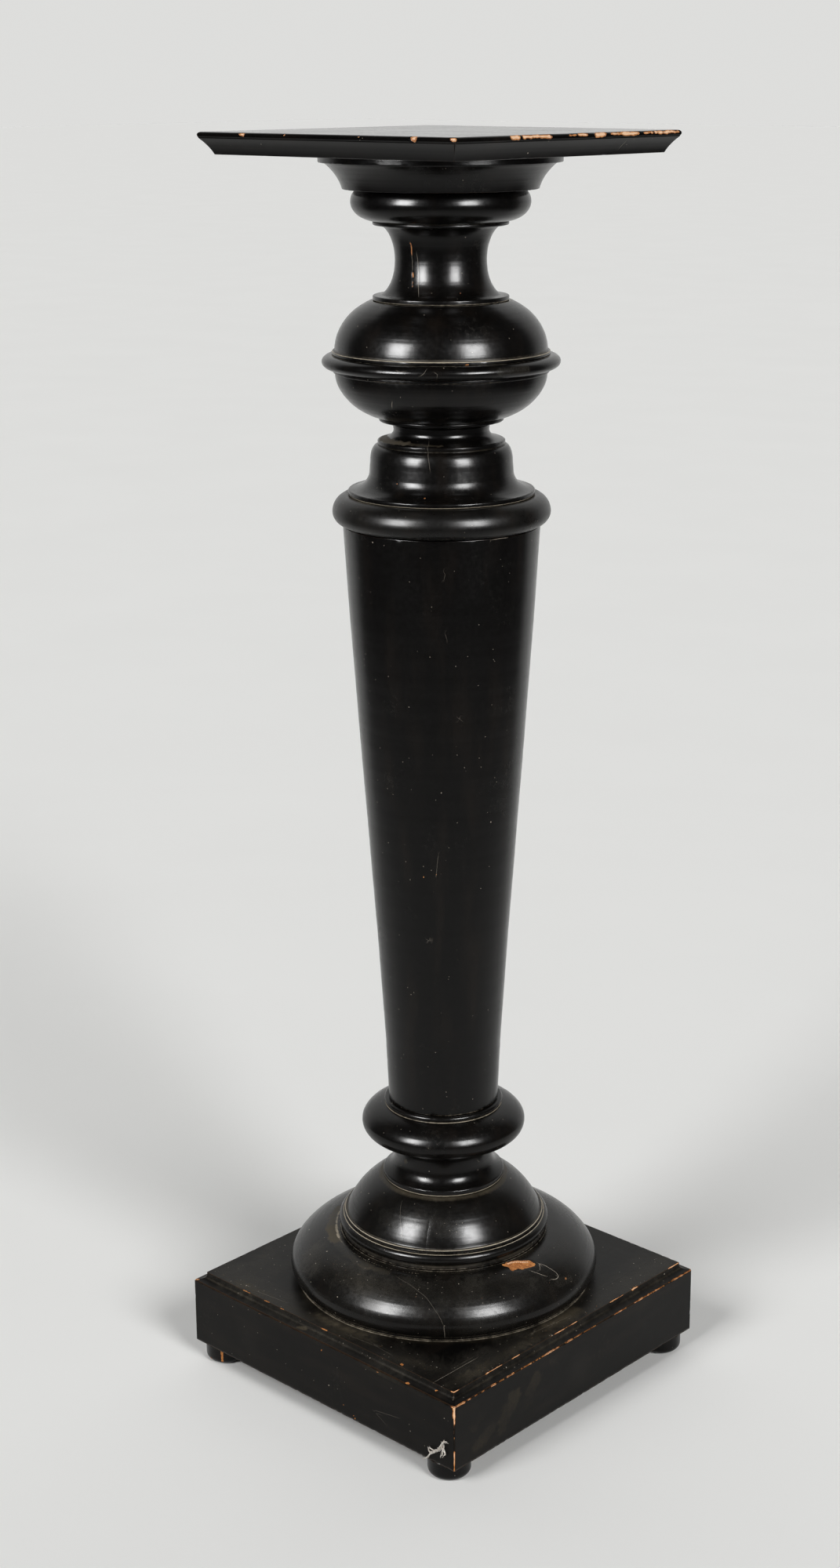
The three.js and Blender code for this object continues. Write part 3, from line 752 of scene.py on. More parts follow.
def base_torus_outline(height):
    line = Outline(WIDE + GAP, 0).inside(128, 0).line(135.3, 0)
    line.arc(128.3, 13.5, 14, 13, -58, 8).curve((141, 27), (124, 45), (97, height - GAP))
    line.line(88, height - GAP)
    return line.inside(WIDE + GAP, height - GAP).inside(WIDE + GAP, 0)


def foot_outline(height, tenon_top, radius, ease, tenon):
    top = height - GAP
    line = Outline(0, 0).inside(radius - ease - 4, 0).line(radius - ease, 0)
    line.arc(radius - ease, ease, ease, ease, -90, 0).line(radius, top - 0.6).line(radius - 0.6, top)
    line.line(radius - 4, top).inside(tenon, top)
    return line.inside(tenon, tenon_top).inside(0, tenon_top)


fine_round = round_directions()
plain_round = round_directions(0.9, 1.8)

TORUS_MARKS = [
    ("bare", [(76.6, 134.0), (79, 133.6)], 1.0, 3.6),
    ("bare", [(79.4, 133.3), (81.5, 132.9)], 1.0, 8.4),
    ("bare", [(81.5, 132.9), (84.5, 132.6), (88, 132.4)], 1.0, 6.2),
    ("bare", [(78.6, 134.1), (82.7, 134.0), (88, 133.0)], 1.22, 2.2),
    ("scratch", [(91.6, 131.1), (93.4, 129.1), (94.3, 126.2), (95.2, 123.6), (95.1, 121.6)], 0.62),
    ("scratch", [(84.9, 129.8), (87.0, 127.6), (89.3, 124.6)], 0.62),
    ("scratch", [(90.6, 121.8), (92.2, 120.6), (94.0, 120.4), (95.1, 121.4)], 0.62),
    ("scratch", [(91.4, 130.6), (90.2, 129.4), (89.0, 128.4)], 0.5),
    ("scratch", [(20, 132.3), (28.7, 130.0), (36.3, 124.7), (41.2, 113.7), (42.8, 105.6)], 0.13),
    ("scratch", [(42.8, 106), (43.1, 99.5), (43.2, 91)], 0.3),
    ("bare", [(89.2, 125.5), (89.5, 125.2)], 0.5, 1.2),
    ("bare", [(88.6, 120.7), (88.9, 120.5)], 0.6, 1.2),
    ("crack", [(62, 113.8), (64, 108)], 0.9),
    ("grime", [(-64, 133.4), (-44, 133.4), (-28, 133.3)], 0.97, 8),
    ("grime", [(-28, 133.3), (-8, 132.9), (14, 132.8)], 0.6, 7),
    ("speckle", [(-14, 127), (8, 128.5), (30, 127)], 0.27, 20),
    ("speckle", [(50, 126), (74, 125)], 0.24, 14),
    ("trim", [(-66, 133.9), (-46, 134), (-30, 133.9)], 0.80, 2.2),
    ("trim", [(-34, 133.9), (-8, 133.8), (30, 133.8)], 0.62, 1.7),
    ("haze", [(-28, 124), (-8, 126), (8, 126), (20, 124)], 0.9, 22),
    ("grime", [(-20, 123), (-4, 124), (10, 123)], 0.45, 12),
    ("haze", [(15, 125), (45, 128), (75, 126)], 0.7, 26),
    ("haze", [(93, 118), (99, 115)], 0.8, 7),
    ("bare", [(97.5, 117.5), (98, 117)], 0.55, 1.6),
]
DOME_MARKS = [
    ("crack", [(33.5, 176), (32.8, 163), (32.5, 154), (32.6, 150)], 0.5),
    ("trim", [(32.6, 153), (32.8, 147), (32.9, 140), (32.4, 135)], 0.5, 1.5),
    ("haze", [(0, 170), (25, 172), (50, 168)], 0.45, 14),
    ("scratch", [(8, 181), (14, 168), (18, 158)], 0.12),
]
NECK_MARKS = [
    ("bare", [(5.5, 1028), (4.8, 1018)], 0.62, 1.3),
    ("scratch", [(4.8, 1018), (5.2, 1012), (6, 1006)], 0.35),
    ("bare", [(6.5, 1004), (7.6, 1001)], 0.62, 1.3),
    ("bare", [(8.5, 997), (9.3, 993)], 0.55, 1.0),
    ("scratch", [(12.2, 1020), (13.8, 1012), (15.4, 1003), (16.4, 994), (20, 986.5)], 0.35),
    ("bare", [(63.2, 988.4), (63.8, 988.8)], 0.8, 1.0),
]
BAND_MARKS = [
    ("haze", [(71, 930.5), (79, 930.6), (87, 930.7)], 0.9, 5),
    ("scratch", [(33.5, 929), (35.2, 931.1), (35.9, 933.5)], 0.22),
    ("scratch", [(40, 931.5), (41.3, 930), (41, 928)], 0.18),
    ("scratch", [(22, 932.3), (23.6, 931.2), (25.5, 932)], 0.22),
]
SHAFT_MARKS = [
    ("scratch", [(44.6, 714.5), (45.4, 711), (46.2, 707)], 0.09),
    ("scratch", [(43.9, 767), (44.8, 764.6), (44.8, 762.4), (43.9, 760)], 0.09),
    ("scratch", [(72.5, 791.6), (78, 792), (82.5, 791.7)], 0.6),
    ("scratch", [(39.8, 516.3), (38.9, 509), (38.4, 503), (37.8, 496)], 0.14),
    ("bare", [(38.1, 498), (37.8, 496)], 0.55, 1.1),
    ("bare", [(1.6, 600), (2.0, 600.3)], 0.7, 0.9),
    ("bare", [(27.6, 494), (28, 494.4)], 0.6, 0.8),
    ("bare", [(68.5, 332), (69, 332.2)], 0.7, 0.9),
    ("scratch", [(29, 436), (31, 434.6), (33, 435)], 0.12),
    ("scratch", [(53, 640), (56, 637)], 0.10),
]
BELL_MARKS = [
    ("scratch", [(29, 868), (31, 862), (33, 853), (34, 846)], 0.14),
    ("grime", [(-62, 865.2), (-24, 865.4), (4, 865.5)], 1.35, 6),
    ("grime", [(4, 865.5), (22, 865.4), (42, 865.3)], 0.8, 4),
    ("bare", [(5.8, 834), (6.4, 834.3)], 0.8, 1.1),
    ("bare", [(31, 825), (31.4, 825.2)], 0.7, 1.0),
]
turned("base_torus", base_torus_outline, True, fine_round,
       dirt=[("grime", 98, 46, 0.5, 4), ("trim", 96, 46.6, 0.85, 1.0), ("trim", 135.6, 0.5, 0.78, 0.8)],
       marks=TORUS_MARKS, haze=0.34, seed=21)
turned("dome", dome_outline,
       dirt=[("trim", 91.2, 17.7, 1.6, 0.42), ("trim", 92.7, 14.2, 1.5, 0.46), ("trim", 94, 0.5, 0.6, 1.0),
             ("grime", 89.6, 18.2, 0.4, 1.0), ("grime", 93.5, 2, 0.6, 2), ("grime", 57, 51, 0.9, 4)],
       marks=DOME_MARKS, haze=0.2, seed=22)
turned("lower_knop", knop_outline,
       dirt=[("trim", 55.2, 0.6, 1.1, 0.7), ("trim", 53.4, 71.6, 0.95, 0.55), ("grime", 46, 15, 0.3, 6)],
       marks=[("grime", [(-7.5, 209), (-6.6, 211)], 0.9, 3.5)], haze=0.05, seed=23)
turned("shaft", shaft_outline, directions=round_directions(1.0, 2.4), dirt=[("trim", 49.6, 0.4, 0.5, 0.9)],
       marks=SHAFT_MARKS, seed=24)
turned("collar", collar_outline, True, dirt=[("trim", 81, 25.4, 0.5, 0.8)], haze=0.22, seed=25,
       look=ebony_worn)
turned("bell", bell_outline, dirt=[("trim", 79.0, 0.3, 1.7, 0.6), ("grime", 77, 4.3, 0.5, 1.5)],
       marks=BELL_MARKS, seed=26)
turned("lower_ball", lower_ball_outline, dirt=[("trim", 90.4, 41.2, 0.55, 0.6)],
       marks=[("scratch", [(14.7, 905), (13, 900)], 0.5)], seed=27)
turned("ball_band", band_outline, True, dirt=[("trim", 91.6, 11.7, 1.0, 0.6), ("grime", 93, 11.4, 0.5, 1.6)],
       marks=BAND_MARKS, seed=28)
turned("upper_ball", upper_ball_outline, True,
       dirt=[("trim", 91.2, 2.8, 1.3, 0.6), ("trim", 58.4, 43.4, 0.8, 0.6), ("grime", 89.4, 4, 0.5, 1.5)],
       marks=[("bare", [(55.8, 936.2), (56.6, 936)], 0.9, 1.2)], seed=29)
turned("neck", neck_outline, dirt=[("trim", 56.5, 0.5, 0.8, 0.55)], marks=NECK_MARKS, seed=30)
turned("top_flange", flange_outline, True, seed=31)


# ---------- Feet ----------

FOOT_RADIUS, FOOT_EASE, FOOT_TENON = 19, 6.5, 4.5


def foot(node, seed):
    low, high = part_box(node)
    centre = (low + high) / 2
    rail_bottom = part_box("rail_left_front")[0].z / MM
    outline = foot_outline(rail_bottom, high.z / MM, FOOT_RADIUS, FOOT_EASE, FOOT_TENON)
    around = on_unit_circle(np.arange(0, 360, 3))
    dirt = [("grime", 19, 17, 0.6, 2)]
    grid, facing, fields, push, _ = swept(outline, around, around, 0, False, dirt, seed, 0.02, 1.6)
    moved = grid + facing * push[..., None]
    moved[..., 2] = np.maximum(moved[..., 2], 0)
    moved += np.array([centre.x, centre.y, 0])
    for end in (0, -1):
        moved[end] = moved[end].mean(0)
    rim = np.exp(-(((moved[..., 2] / MM - 3.5) / 2) ** 2))
    fields["bare"] = np.maximum(fuzz(moved, 7, seed) * 1.6 - 0.4, 0) * rim * 0.9
    if node == "foot_left":
        split = dense_path([(-133.5, -161.0, 17), (-134.2, -160.8, 9), (-134.6, -160.2, 3)], None)
        draw_patch(moved, fields, "bare", nearest(moved, split)[0], 1.6)
    mesh = grid_mesh(f"{node}_turning", moved, fields)
    piece(f"{node}_turning", mesh, ebony_turned, "ebonised_turning", node)


for number, corner in enumerate(("near", "right", "far", "left")):
    foot(f"foot_{corner}", 41 + number)


# ---------- Square boards ----------


def swept_board(name, outline, half, seat_height, turn, marks, seed, wear, dirt=()):
    """A square board. It is left as a mesh, and turned about the axis by an angle in radians."""
    directions, normals = square_directions(half)
    grid, facing, fields, push, _ = swept(
        outline, directions, normals, seat_height, False, dirt, seed, 0.015, wear
    )
    corner = np.minimum(np.abs(directions[:, 0]), np.abs(directions[:, 1]))
    near = np.exp(-(1 - corner) * half / 0.9)
    upright = np.abs(facing[:, :1, 2]) < 0.8
    fields["edge"] += 1.2 * wear * near[None, :] * upright
    draw_marks(grid, facing, fields, push, marks)
    grid = grid + facing * push[..., None]
    for end in (0, -1):
        grid[end] = grid[end].mean(0)
    if turn:
        c, s = math.cos(turn), math.sin(turn)
        grid = grid @ np.array([[c, s, 0], [-s, c, 0], [0, 0, 1]])
    return grid_mesh(name, grid, fields)


def chips(line, runs, amount=1.32):
    """Bare places along an arris, where line(t) gives a point on it. Each run is (start, end, width)."""
    return [("bare", [line(start), line(end)], amount, width) for start, end, width in runs]


def on_face(place, marks):
    """Marks on a flat face, where place(a, b) gives the point at each (a, b) of their paths."""
    return [(kind, [place(a, b) for a, b in path], *rest) for kind, path, *rest in marks]


def top_outline(height, half):
    inset, nose = 9.9, 2.5
    line = Outline(0, 0).inside(half - 60, 0).line(half - 30, 0, step=8).line(half - inset, 0, step=2)
    line.curve((half - 7.2, 6.5), (half - 0.9, height - 2 * nose))
    line.arc(half - nose, height - nose, nose, nose, -45, 90, step=0.5)
    for inward in (8, 20, 40, 70, 110):
        line.line(half - inward, height, step=4)
    return line.inside(0, height)


def plinth_top_outline(half, inside, depth, height):
    ledge, arris = half - 0.4, half - 8.4
    line = Outline(0, -depth).inside(inside, -depth).inside(inside, 0).line(ledge, 0).line(ledge, 0.4)
    line.curve((arris + 1.2, 0.8), (arris + 0.2, 4.2)).line(arris, height - 1.2).line(arris, height, step=0.4)
    line.line(arris - 1.2, height, step=0.4)
    for inward in (16, 30, 60, 110):
        line.line(half - inward, height, step=3)
    return line.inside(0, height)


low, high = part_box("top_board")
TOP_TURN = math.radians(1)
TOP_HALF = (high.x - low.x) / MM / 2 / (math.cos(TOP_TURN) + math.sin(TOP_TURN))
NOSE_LEVEL = high.z / MM - 1.6
NOSE_CHIPS_RIGHT = (
    (-74, -67, 2.4), (-61, -52, 2.2), (-49, -43, 2.2), (-40, -29, 2.4), (-5, 3, 1.4), (6, 16, 1.8),
    (28, 38, 3.0), (47, 56, 1.6), (56, 82, 2.3), (90, 100, 1.5), (104, 135, 1.9),
)
NOSE_CHIPS_LEFT = ((-90, -85, 2.0), (97, 99, 3.4), (136, 139.5, 2.2), (-40, -38, 1.1), (40, 42, 1.0))
nose = TOP_HALF - 0.9
level = NOSE_LEVEL
top_marks = chips(lambda t: (nose, t, level), NOSE_CHIPS_RIGHT)
top_marks += chips(lambda t: (t, -nose, level), NOSE_CHIPS_LEFT)
top_marks += [
    ("crack", [(nose - t, t - nose, z) for t, z in ((0, level), (2, level - 8), (7, low.z / MM + 1))], 0.6),
    ("scratch", [(nose - 2, 70, level - 6), (nose - 6, 66, level - 12)], 0.25),
]
outline = top_outline((high.z - low.z) / MM, TOP_HALF)
name = "top_board_planed"
top_mesh = swept_board(name, outline, TOP_HALF, low.z, TOP_TURN, top_marks, 51, 1.2)
piece(name, top_mesh, ebony_top, "ebonised_board", "top_board")

low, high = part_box("rail_left_front")
RAIL_LOW, RAIL_HIGH = low.z, high.z
HALF = -low.y / MM
RAIL_THICK = (high.y - low.y) / MM
board_low, board_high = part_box("plinth_board")
BOARD_SEAT = RAIL_HIGH + GAP * MM
board_depth, board_height = (BOARD_SEAT - board_low.z) / MM, (board_high.z - BOARD_SEAT) / MM
outline = plinth_top_outline(HALF, HALF - RAIL_THICK - GAP, board_depth, board_height)
ARRIS_LEVEL, INNER_LEVEL, INNER = RAIL_HIGH / MM, board_high.z / MM, HALF - 8.4
OUTER_RUNS = (
    (-165, -152, 1.5), (-148, -144, 0.8), (-138, -136, 0.8), (-130, -127, 0.8), (-117, -112, 1.1),
    (-108, -101, 0.9), (-98, -89, 0.85), (-79, -53, 0.75), (-51, -28, 1.0), (-19, -10, 1.1), (-6, 4, 0.75),
    (8, 24, 0.75), (50, 67, 0.7), (80, 91, 1.1), (94, 123, 0.9), (131, 164, 1.3),
)
INNER_RUNS = (
    (-115, -95, 0.75), (-80, -72, 0.8), (-28, 6, 0.8), (54, 72, 0.7), (86, 93, 1.5), (140, 155, 1.0),
)
INNER_LEFT_RUNS = ((-106, -98, 0.8), (-78, -72, 0.8), (-57, -52, 0.7), (-4, 3, 1.0))


def near_edge(z):
    return HALF, -HALF, z


inner_corner = [(x, y, INNER_LEVEL) for x, y in ((INNER, 6 - INNER), (INNER, -INNER), (INNER - 3, -INNER))]
NEAR_CORNER = [
    ("bare", [near_edge(ARRIS_LEVEL), near_edge(71)], 1.4, 2.3),
    ("bare", [near_edge(72), near_edge(64)], 1.3, 1.2),
    ("bare", [near_edge(66), near_edge(38)], 0.55, 0.8),
    ("bare", [near_edge(36), near_edge(17)], 1.25, 1.1),
    ("bare", [(INNER + 2.5, -2.5 - INNER, INNER_LEVEL - 4.5), (INNER, -INNER, INNER_LEVEL)], 1.4, 1.2),
    ("bare", inner_corner, 1.4, 1.1),
    ("bare", [(HALF - 3.5, -HALF, ARRIS_LEVEL), near_edge(ARRIS_LEVEL)], 1.3, 1.2),
]
arris_marks = NEAR_CORNER + chips(lambda t: (HALF, t, ARRIS_LEVEL + 0.3), OUTER_RUNS)
LEDGE_MARKS = [
    ("bare", [(108, -163.5, 80.4), (110, -163.4, 80.6)], 0.8, 1.8),
    ("bare", [(137, -158, 82), (138, -158, 82.4)], 0.7, 1.5),
    ("grime", [(-28, -161, 81), (-22, -160, 82)], 0.9, 4),
    ("bare", [(-164, -164, 80.4), (-162.5, -162.5, 81)], 1.2, 1.6),
]
LID_LEVEL = 87.4
LID_MARKS = [
    ("bare", [(92, -153.3), (92.6, -153)], 1.0, 1.6),
    ("scratch", [(133, -156), (133, -128), (133, -101)], 0.4),
    ("grime", [(-120, -150), (-40, -150), (60, -148), (130, -140)], 0.5, 12),
    ("grime", [(148, -150), (148, -60), (146, 20)], 0.55, 12),
    ("haze", [(-140, -140), (-60, -148), (60, -148), (140, -140)], 0.7, 26),
    ("haze", [(140, -140), (144, -60), (140, 60), (142, 140)], 0.7, 26),
    ("haze", [(-120, -120), (-140, -60), (-140, 60)], 0.6, 26),
    ("scratch", [(-96, -150), (-60, -146)], 0.14),
    ("speckle", [(-145, -149), (-30, -149)], 0.26, 15),
    ("speckle", [(50, -149), (130, -148)], 0.26, 13),
    ("speckle", [(150, -130), (150, 60)], 0.27, 14),
    ("scratch", [(20, -150), (52, -146), (76, -148)], 0.12),
    ("scratch", [(140, -40), (146, 10)], 0.14),
]
board_marks = (
    arris_marks
    + chips(lambda t: (INNER, t, INNER_LEVEL), INNER_RUNS)
    + chips(lambda t: (t, -INNER, INNER_LEVEL), INNER_LEFT_RUNS, 0.8)
    + LEDGE_MARKS
    + on_face(lambda x, y: (x, y, LID_LEVEL), LID_MARKS)
)
dirt = [("grime", HALF - 8, 1, 0.7, 2.2)]
whole = swept_board("plinth_board_whole", outline, HALF, BOARD_SEAT, 0, board_marks, 52, 1.75, dirt)


def cut_off(mesh, name, x, keep_above):
    """A copy of a mesh, cut by an upright plane across X and closed again."""
    made = bmesh.new()
    made.from_mesh(mesh)
    parts = made.verts[:] + made.edges[:] + made.faces[:]
    plane = {"plane_co": (x, 0, 0), "plane_no": (1, 0, 0)}
    sides = {"clear_inner": keep_above, "clear_outer": not keep_above}
    cut = bmesh.ops.bisect_plane(made, geom=parts, **plane, **sides)
    rim = [e for e in cut["geom_cut"] if isinstance(e, bmesh.types.BMEdge)]
    bmesh.ops.edgeloop_fill(made, edges=rim)
    for edge in rim:
        edge.smooth = False
    copy = bpy.data.meshes.new(name)
    made.to_mesh(copy)
    made.free()
    return copy


joint = (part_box("plinth_board")[1].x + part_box("plinth_board_strip")[0].x) / 2
slack = 0.04 * MM  # the old joint is closed more tightly than the CAD gap
for name, node, side, keep_above in (
    ("plinth_board_planed", "plinth_board", -slack, False),
    ("plinth_strip_planed", "plinth_board_strip", slack, True),
):
    piece(name, cut_off(whole, name, joint + side, keep_above), ebony_board, "ebonised_board", node)
bpy.data.meshes.remove(whole)


def rail(node, quarter, seed, marks=()):
    """A mitred rail along X at the -Y side, then turned by quarters about the axis."""
    tall_mm, thick = (RAIL_HIGH - RAIL_LOW) / MM, RAIL_THICK
    section = Outline(HALF, 0).line(HALF, tall_mm - 1.6, step=2.0).line(HALF, tall_mm, step=0.5)
    section.line(HALF - thick, tall_mm, step=4).inside(HALF - thick, 0).line(HALF, 0, step=4)
    points, _ = rounded(section, 0.6)
    points = points[:-1]
    along, turn, normal = turning_of(points, True)
    end = [1 - k * 0.0017 for k in range(7)]
    spots = np.concatenate([np.negative(end), np.linspace(-0.985, 0.985, 190), end[::-1]])
    depth = points[:, 0][:, None]
    reach = depth - GAP * math.sqrt(0.5)
    grid = np.empty((len(points), len(spots), 3))
    grid[..., 0] = spots[None, :] * reach
    from_corner = HALF - np.abs(grid[..., 0])
    ease = 1.1
    eased = ease - np.sqrt(np.maximum(ease**2 - np.maximum(ease - from_corner, 0) ** 2, 0))
    outer = depth > HALF - 1.5
    grid[..., 1] = -(depth - eased * outer)
    grid[..., 2] = points[:, 1][:, None] + RAIL_LOW / MM
    grid *= MM
    facing = np.zeros_like(grid)
    facing[..., 1] = -normal[:, :1]
    facing[..., 2] = normal[:, 1:]
    convex = creases(turn, along, EDGE_REACH)
    fields = blank_fields(grid.shape[:2])
    fields["edge"] += np.minimum(convex, 1.3)[:, None] * 1.2 + 1.3 * np.exp(-from_corner / 0.9) * outer
    fields["haze"] += 0.25 * smooth_step(0.1, 0.8, fuzz(grid, 45, seed)) * outer
    uneven = fuzz(grid, 60, seed) * 0.12 + fuzz(grid, 9, seed + 1) * 0.03
    nicks = np.minimum(fields["edge"], 1.0) * np.maximum(fuzz(grid, 3.5, seed + 2) - 0.2, 0) * 0.6
    push = (uneven - nicks) * MM
    c, s = quarter_turn(quarter)
    turn_by = np.array([[c, s, 0], [-s, c, 0], [0, 0, 1]])
    grid, facing = grid @ turn_by, facing @ turn_by
    draw_marks(grid, facing, fields, push, marks)
    grid += facing * push[..., None]
    mesh = grid_mesh(f"{node}_planed", grid, fields, wrap_rows=True, wrap_columns=False, caps=True)
    look = ebony_rail if quarter % 2 == 0 else ebony_board
    piece(f"{node}_planed", mesh, look, "ebonised_board", node)


RIGHT_FACE_STAINS = [  # (y, z)
    ("grime", [(-58, 62), (-66, 54)], 0.60, 13),
    ("grime", [(-66, 44), (-80, 38)], 0.46, 10),
    ("grime", [(-88, 56), (-98, 44), (-102, 34)], 0.64, 15),
    ("grime", [(-118, 38), (-136, 30)], 0.54, 13),
    ("grime", [(-38, 68), (-30, 62)], 0.54, 8),
    ("grime", [(-128, 60), (-140, 52)], 0.48, 12),
    ("bare", [(-50, 38.6), (-49.5, 38.4)], 0.75, 1.1),
    ("grime", [(10, 22), (60, 20)], 0.4, 5),
]
LEFT_FACE_MARKS = [  # (x, z)
    ("scratch", [(68, 38), (84, 30)], 0.1),
    ("scratch", [(70, 38.5), (100, 43)], 0.12),
    ("bare", [(-77, 77), (-75, 77.3)], 0.7, 1.4),
    ("bare", [(44, 22), (45, 20.5)], 0.75, 1.4),
    ("bare", [(31, 27.5), (31.5, 27.3)], 0.75, 1.2),
    ("bare", [(4, 72), (4.5, 72.3)], 0.75, 1.3),
    ("grime", [(-90, 77), (-40, 77), (10, 77)], 0.4, 4),
    ("grime", [(50, 77), (100, 77), (130, 76)], 0.55, 4),
    ("bare", [(73, 77), (75, 76.8)], 0.75, 1.4),
    ("grime", [(-165, 60), (-165, 30)], 0.6, 3),
]
FACE = 165
left_face = on_face(lambda x, z: (x, -FACE, z), LEFT_FACE_MARKS)
right_face = on_face(lambda y, z: (FACE, y, z), RIGHT_FACE_STAINS)
rail("rail_left_front", 0, 61, arris_marks + left_face)
rail("rail_right_front", 1, 62, arris_marks + right_face)
rail("rail_right_back", 2, 63)
rail("rail_left_back", 3, 64)


# ---------- Lifted fibres near the near corner ----------


def fibre_look():
    n = nodes_of("lifted_fibres")
    streak = n.noise(n.stretched(n.place(), 900.0, 900.0, 300.0), 1.0, 3.0, 0.6)
    colour = n.mix(n.ramp(streak, 0.35, 0.65), (0.48, 0.42, 0.35, 1), (0.86, 0.83, 0.78, 1))
    return n.surface(colour, n.ramp(streak, 0.3, 0.7, 0.7, 0.9), streak, 0.5, 0.0001)


def fibres():
    """Torn fibres that stand off the left front face, each a thin bent tube."""
    random = np.random.default_rng(7)
    strands = [
        [(130, 17), (134, 20), (138, 24.5), (141, 27), (144, 30), (149, 35)],
        [(136, 30), (138, 27), (142, 28), (146, 32), (150, 36)],
        [(137, 31), (141, 30), (145, 31), (150, 34)],
        [(147, 33), (151, 38), (153, 43), (157, 43.5)],
        [(148, 36), (152, 41), (155, 45)],
        [(152, 42), (154, 38), (153, 33), (150, 27)],
        [(150, 38), (154, 36), (156, 32), (152, 28)],
        [(145, 30), (149, 33), (152, 37)],
    ]
    made = bmesh.new()
    for strand in strands:
        for _ in range(5):
            bend = np.array([(x, -HALF - 0.3, z) for x, z in strand], float)
            bend += random.normal(0, 0.7, bend.shape) * [1, 0, 1]
            bend[:, 1] -= np.abs(random.normal(1.2, 0.8, len(bend)))
            at = np.linspace(0, len(bend) - 1, 4 * len(bend))
            line = np.stack([np.interp(at, range(len(bend)), bend[:, k]) for k in range(3)], 1)
            line[1:-1] = (line[:-2] + line[1:-1] + line[2:]) / 3
            thick = random.uniform(0.15, 0.34)
            rings = []
            for k, point in enumerate(line):
                ahead = unit(line[min(k + 1, len(line) - 1)] - line[max(k - 1, 0)])
                side = unit(np.cross(ahead, (0.0, 1.0, 0.01)))
                lift = np.cross(side, ahead)
                size = thick * (0.35 + 0.65 * math.sin(math.pi * (k + 0.6) / (len(line) + 0.2)))
                turns = [2 * math.pi * j / 5 for j in range(5)]
                ring = [point + size * (math.cos(a) * side + math.sin(a) * lift) for a in turns]
                rings.append([made.verts.new(place * MM) for place in ring])
            for low_ring, high_ring in zip(rings, rings[1:]):
                for j in range(5):
                    k = (j + 1) % 5
                    made.faces.new((low_ring[j], low_ring[k], high_ring[k], high_ring[j]))
            made.faces.new(rings[0][::-1])
            made.faces.new(rings[-1])
    bmesh.ops.recalc_face_normals(made, faces=made.faces)
    mesh = bpy.data.meshes.new("lifted_fibres")
    made.to_mesh(mesh)
    made.free()
    mesh.shade_smooth()
    piece("lifted_fibres", mesh, fibre_look(), "bare_wood", "rail_left_front")


fibres()


# ---------- Hidden pieces that keep their CAD shape ----------


def raw_wood():
    n = nodes_of("bare_wood")
    place = n.place()
    grain = n.noise(n.stretched(place, 500.0, 500.0, 18.0), 1.0, 4.0, 0.6)
    broad = n.noise(n.stretched(place, 60.0, 60.0, 6.0), 1.0, 3.0, 0.5)
    colour = n.mix(n.ramp(grain, 0.3, 0.7), (0.11, 0.058, 0.028, 1), (0.30, 0.18, 0.095, 1))
    colour = n.mix(n.ramp(broad, 0.4, 0.7, 0.0, 0.5), colour, (0.06, 0.035, 0.02, 1))
    return n.surface(colour, n.ramp(grain, 0.2, 0.8, 0.65, 0.9), grain, 0.7, 0.0003)


def screw_steel():
    n = nodes_of("screw_steel")
    place = n.place()
    cloud = n.noise(place, 400.0, 4.0, 0.6)
    fine = n.noise(place, 2500.0, 2.0, 0.6)
    colour = n.mix(n.ramp(cloud, 0.4, 0.7), (0.30, 0.28, 0.25, 1), (0.16, 0.085, 0.045, 1))
    metal = {"Metallic": n.ramp(cloud, 0.5, 0.75, 1.0, 0.3)}
    return n.surface(colour, n.ramp(cloud, 0.3, 0.7, 0.35, 0.7), fine, 0.5, 0.0001, metal)


raw, steel = raw_wood(), screw_steel()
for node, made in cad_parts.items():
    look = steel if "_screw_" in node else raw if node.startswith("corner_block") else None
    if look is None:
        continue
    made.data.materials.clear()
    made.data.materials.append(look)
    ease = made.modifiers.new("eased_edges", "BEVEL")
    ease.width = 0.0008 if look is raw else 0.00015
    ease.segments = 2
    ease.limit_method = "ANGLE"


# ---------- Floor, light and camera ----------


CAMERA_TURN = math.radians(CAMERA_AZIMUTH)
TO_CAMERA = Vector((math.sin(CAMERA_TURN), -math.cos(CAMERA_TURN), 0))
PALE = (0.727, 0.727, 0.714, 1)
PAPER = (0.882, 0.882, 0.867, 1), (0.912, 0.912, 0.897, 1)
# Painted reflection: the floor's colour seen only by glossy rays, darkening the object's reflections
PAINTED_REFLECTION_DARK = (0.08, 0.08, 0.08, 1)


def floor():
    """A pale floor. Only in reflections is it painted dark, away from the object in front: a painted dark
    reflection.
    """
    n = nodes_of("studio_floor")
    place = n.place()
    colour = n.mix(n.noise(place, 3.0, 3.0, 0.5), *PAPER)
    away = n.make("ShaderNodeVectorMath", {0: place}, operation="LENGTH").outputs["Value"]
    side = n.math("DIVIDE", n.along(place, TO_CAMERA), n.plus(away, 0.01))
    dark_in_reflections = n.times(n.ramp(away, 0.5, 2.6), n.ramp(side, -0.66, -0.36))
    glossy = n.make("ShaderNodeLightPath").outputs["Is Glossy Ray"]
    # Painted reflection: the floor turns dark for glossy rays only, away from the object in front
    colour = n.mix(n.times(dark_in_reflections, glossy), colour, PAINTED_REFLECTION_DARK)
    shader = n.make("ShaderNodeBsdfDiffuse", {"Color": colour, "Roughness": 0.1})
    material = n.finish(shader.outputs[0])
    bpy.ops.mesh.primitive_plane_add(size=80)
    plane = bpy.context.object
    plane.name = "studio_floor"
    plane.data.materials.append(material)


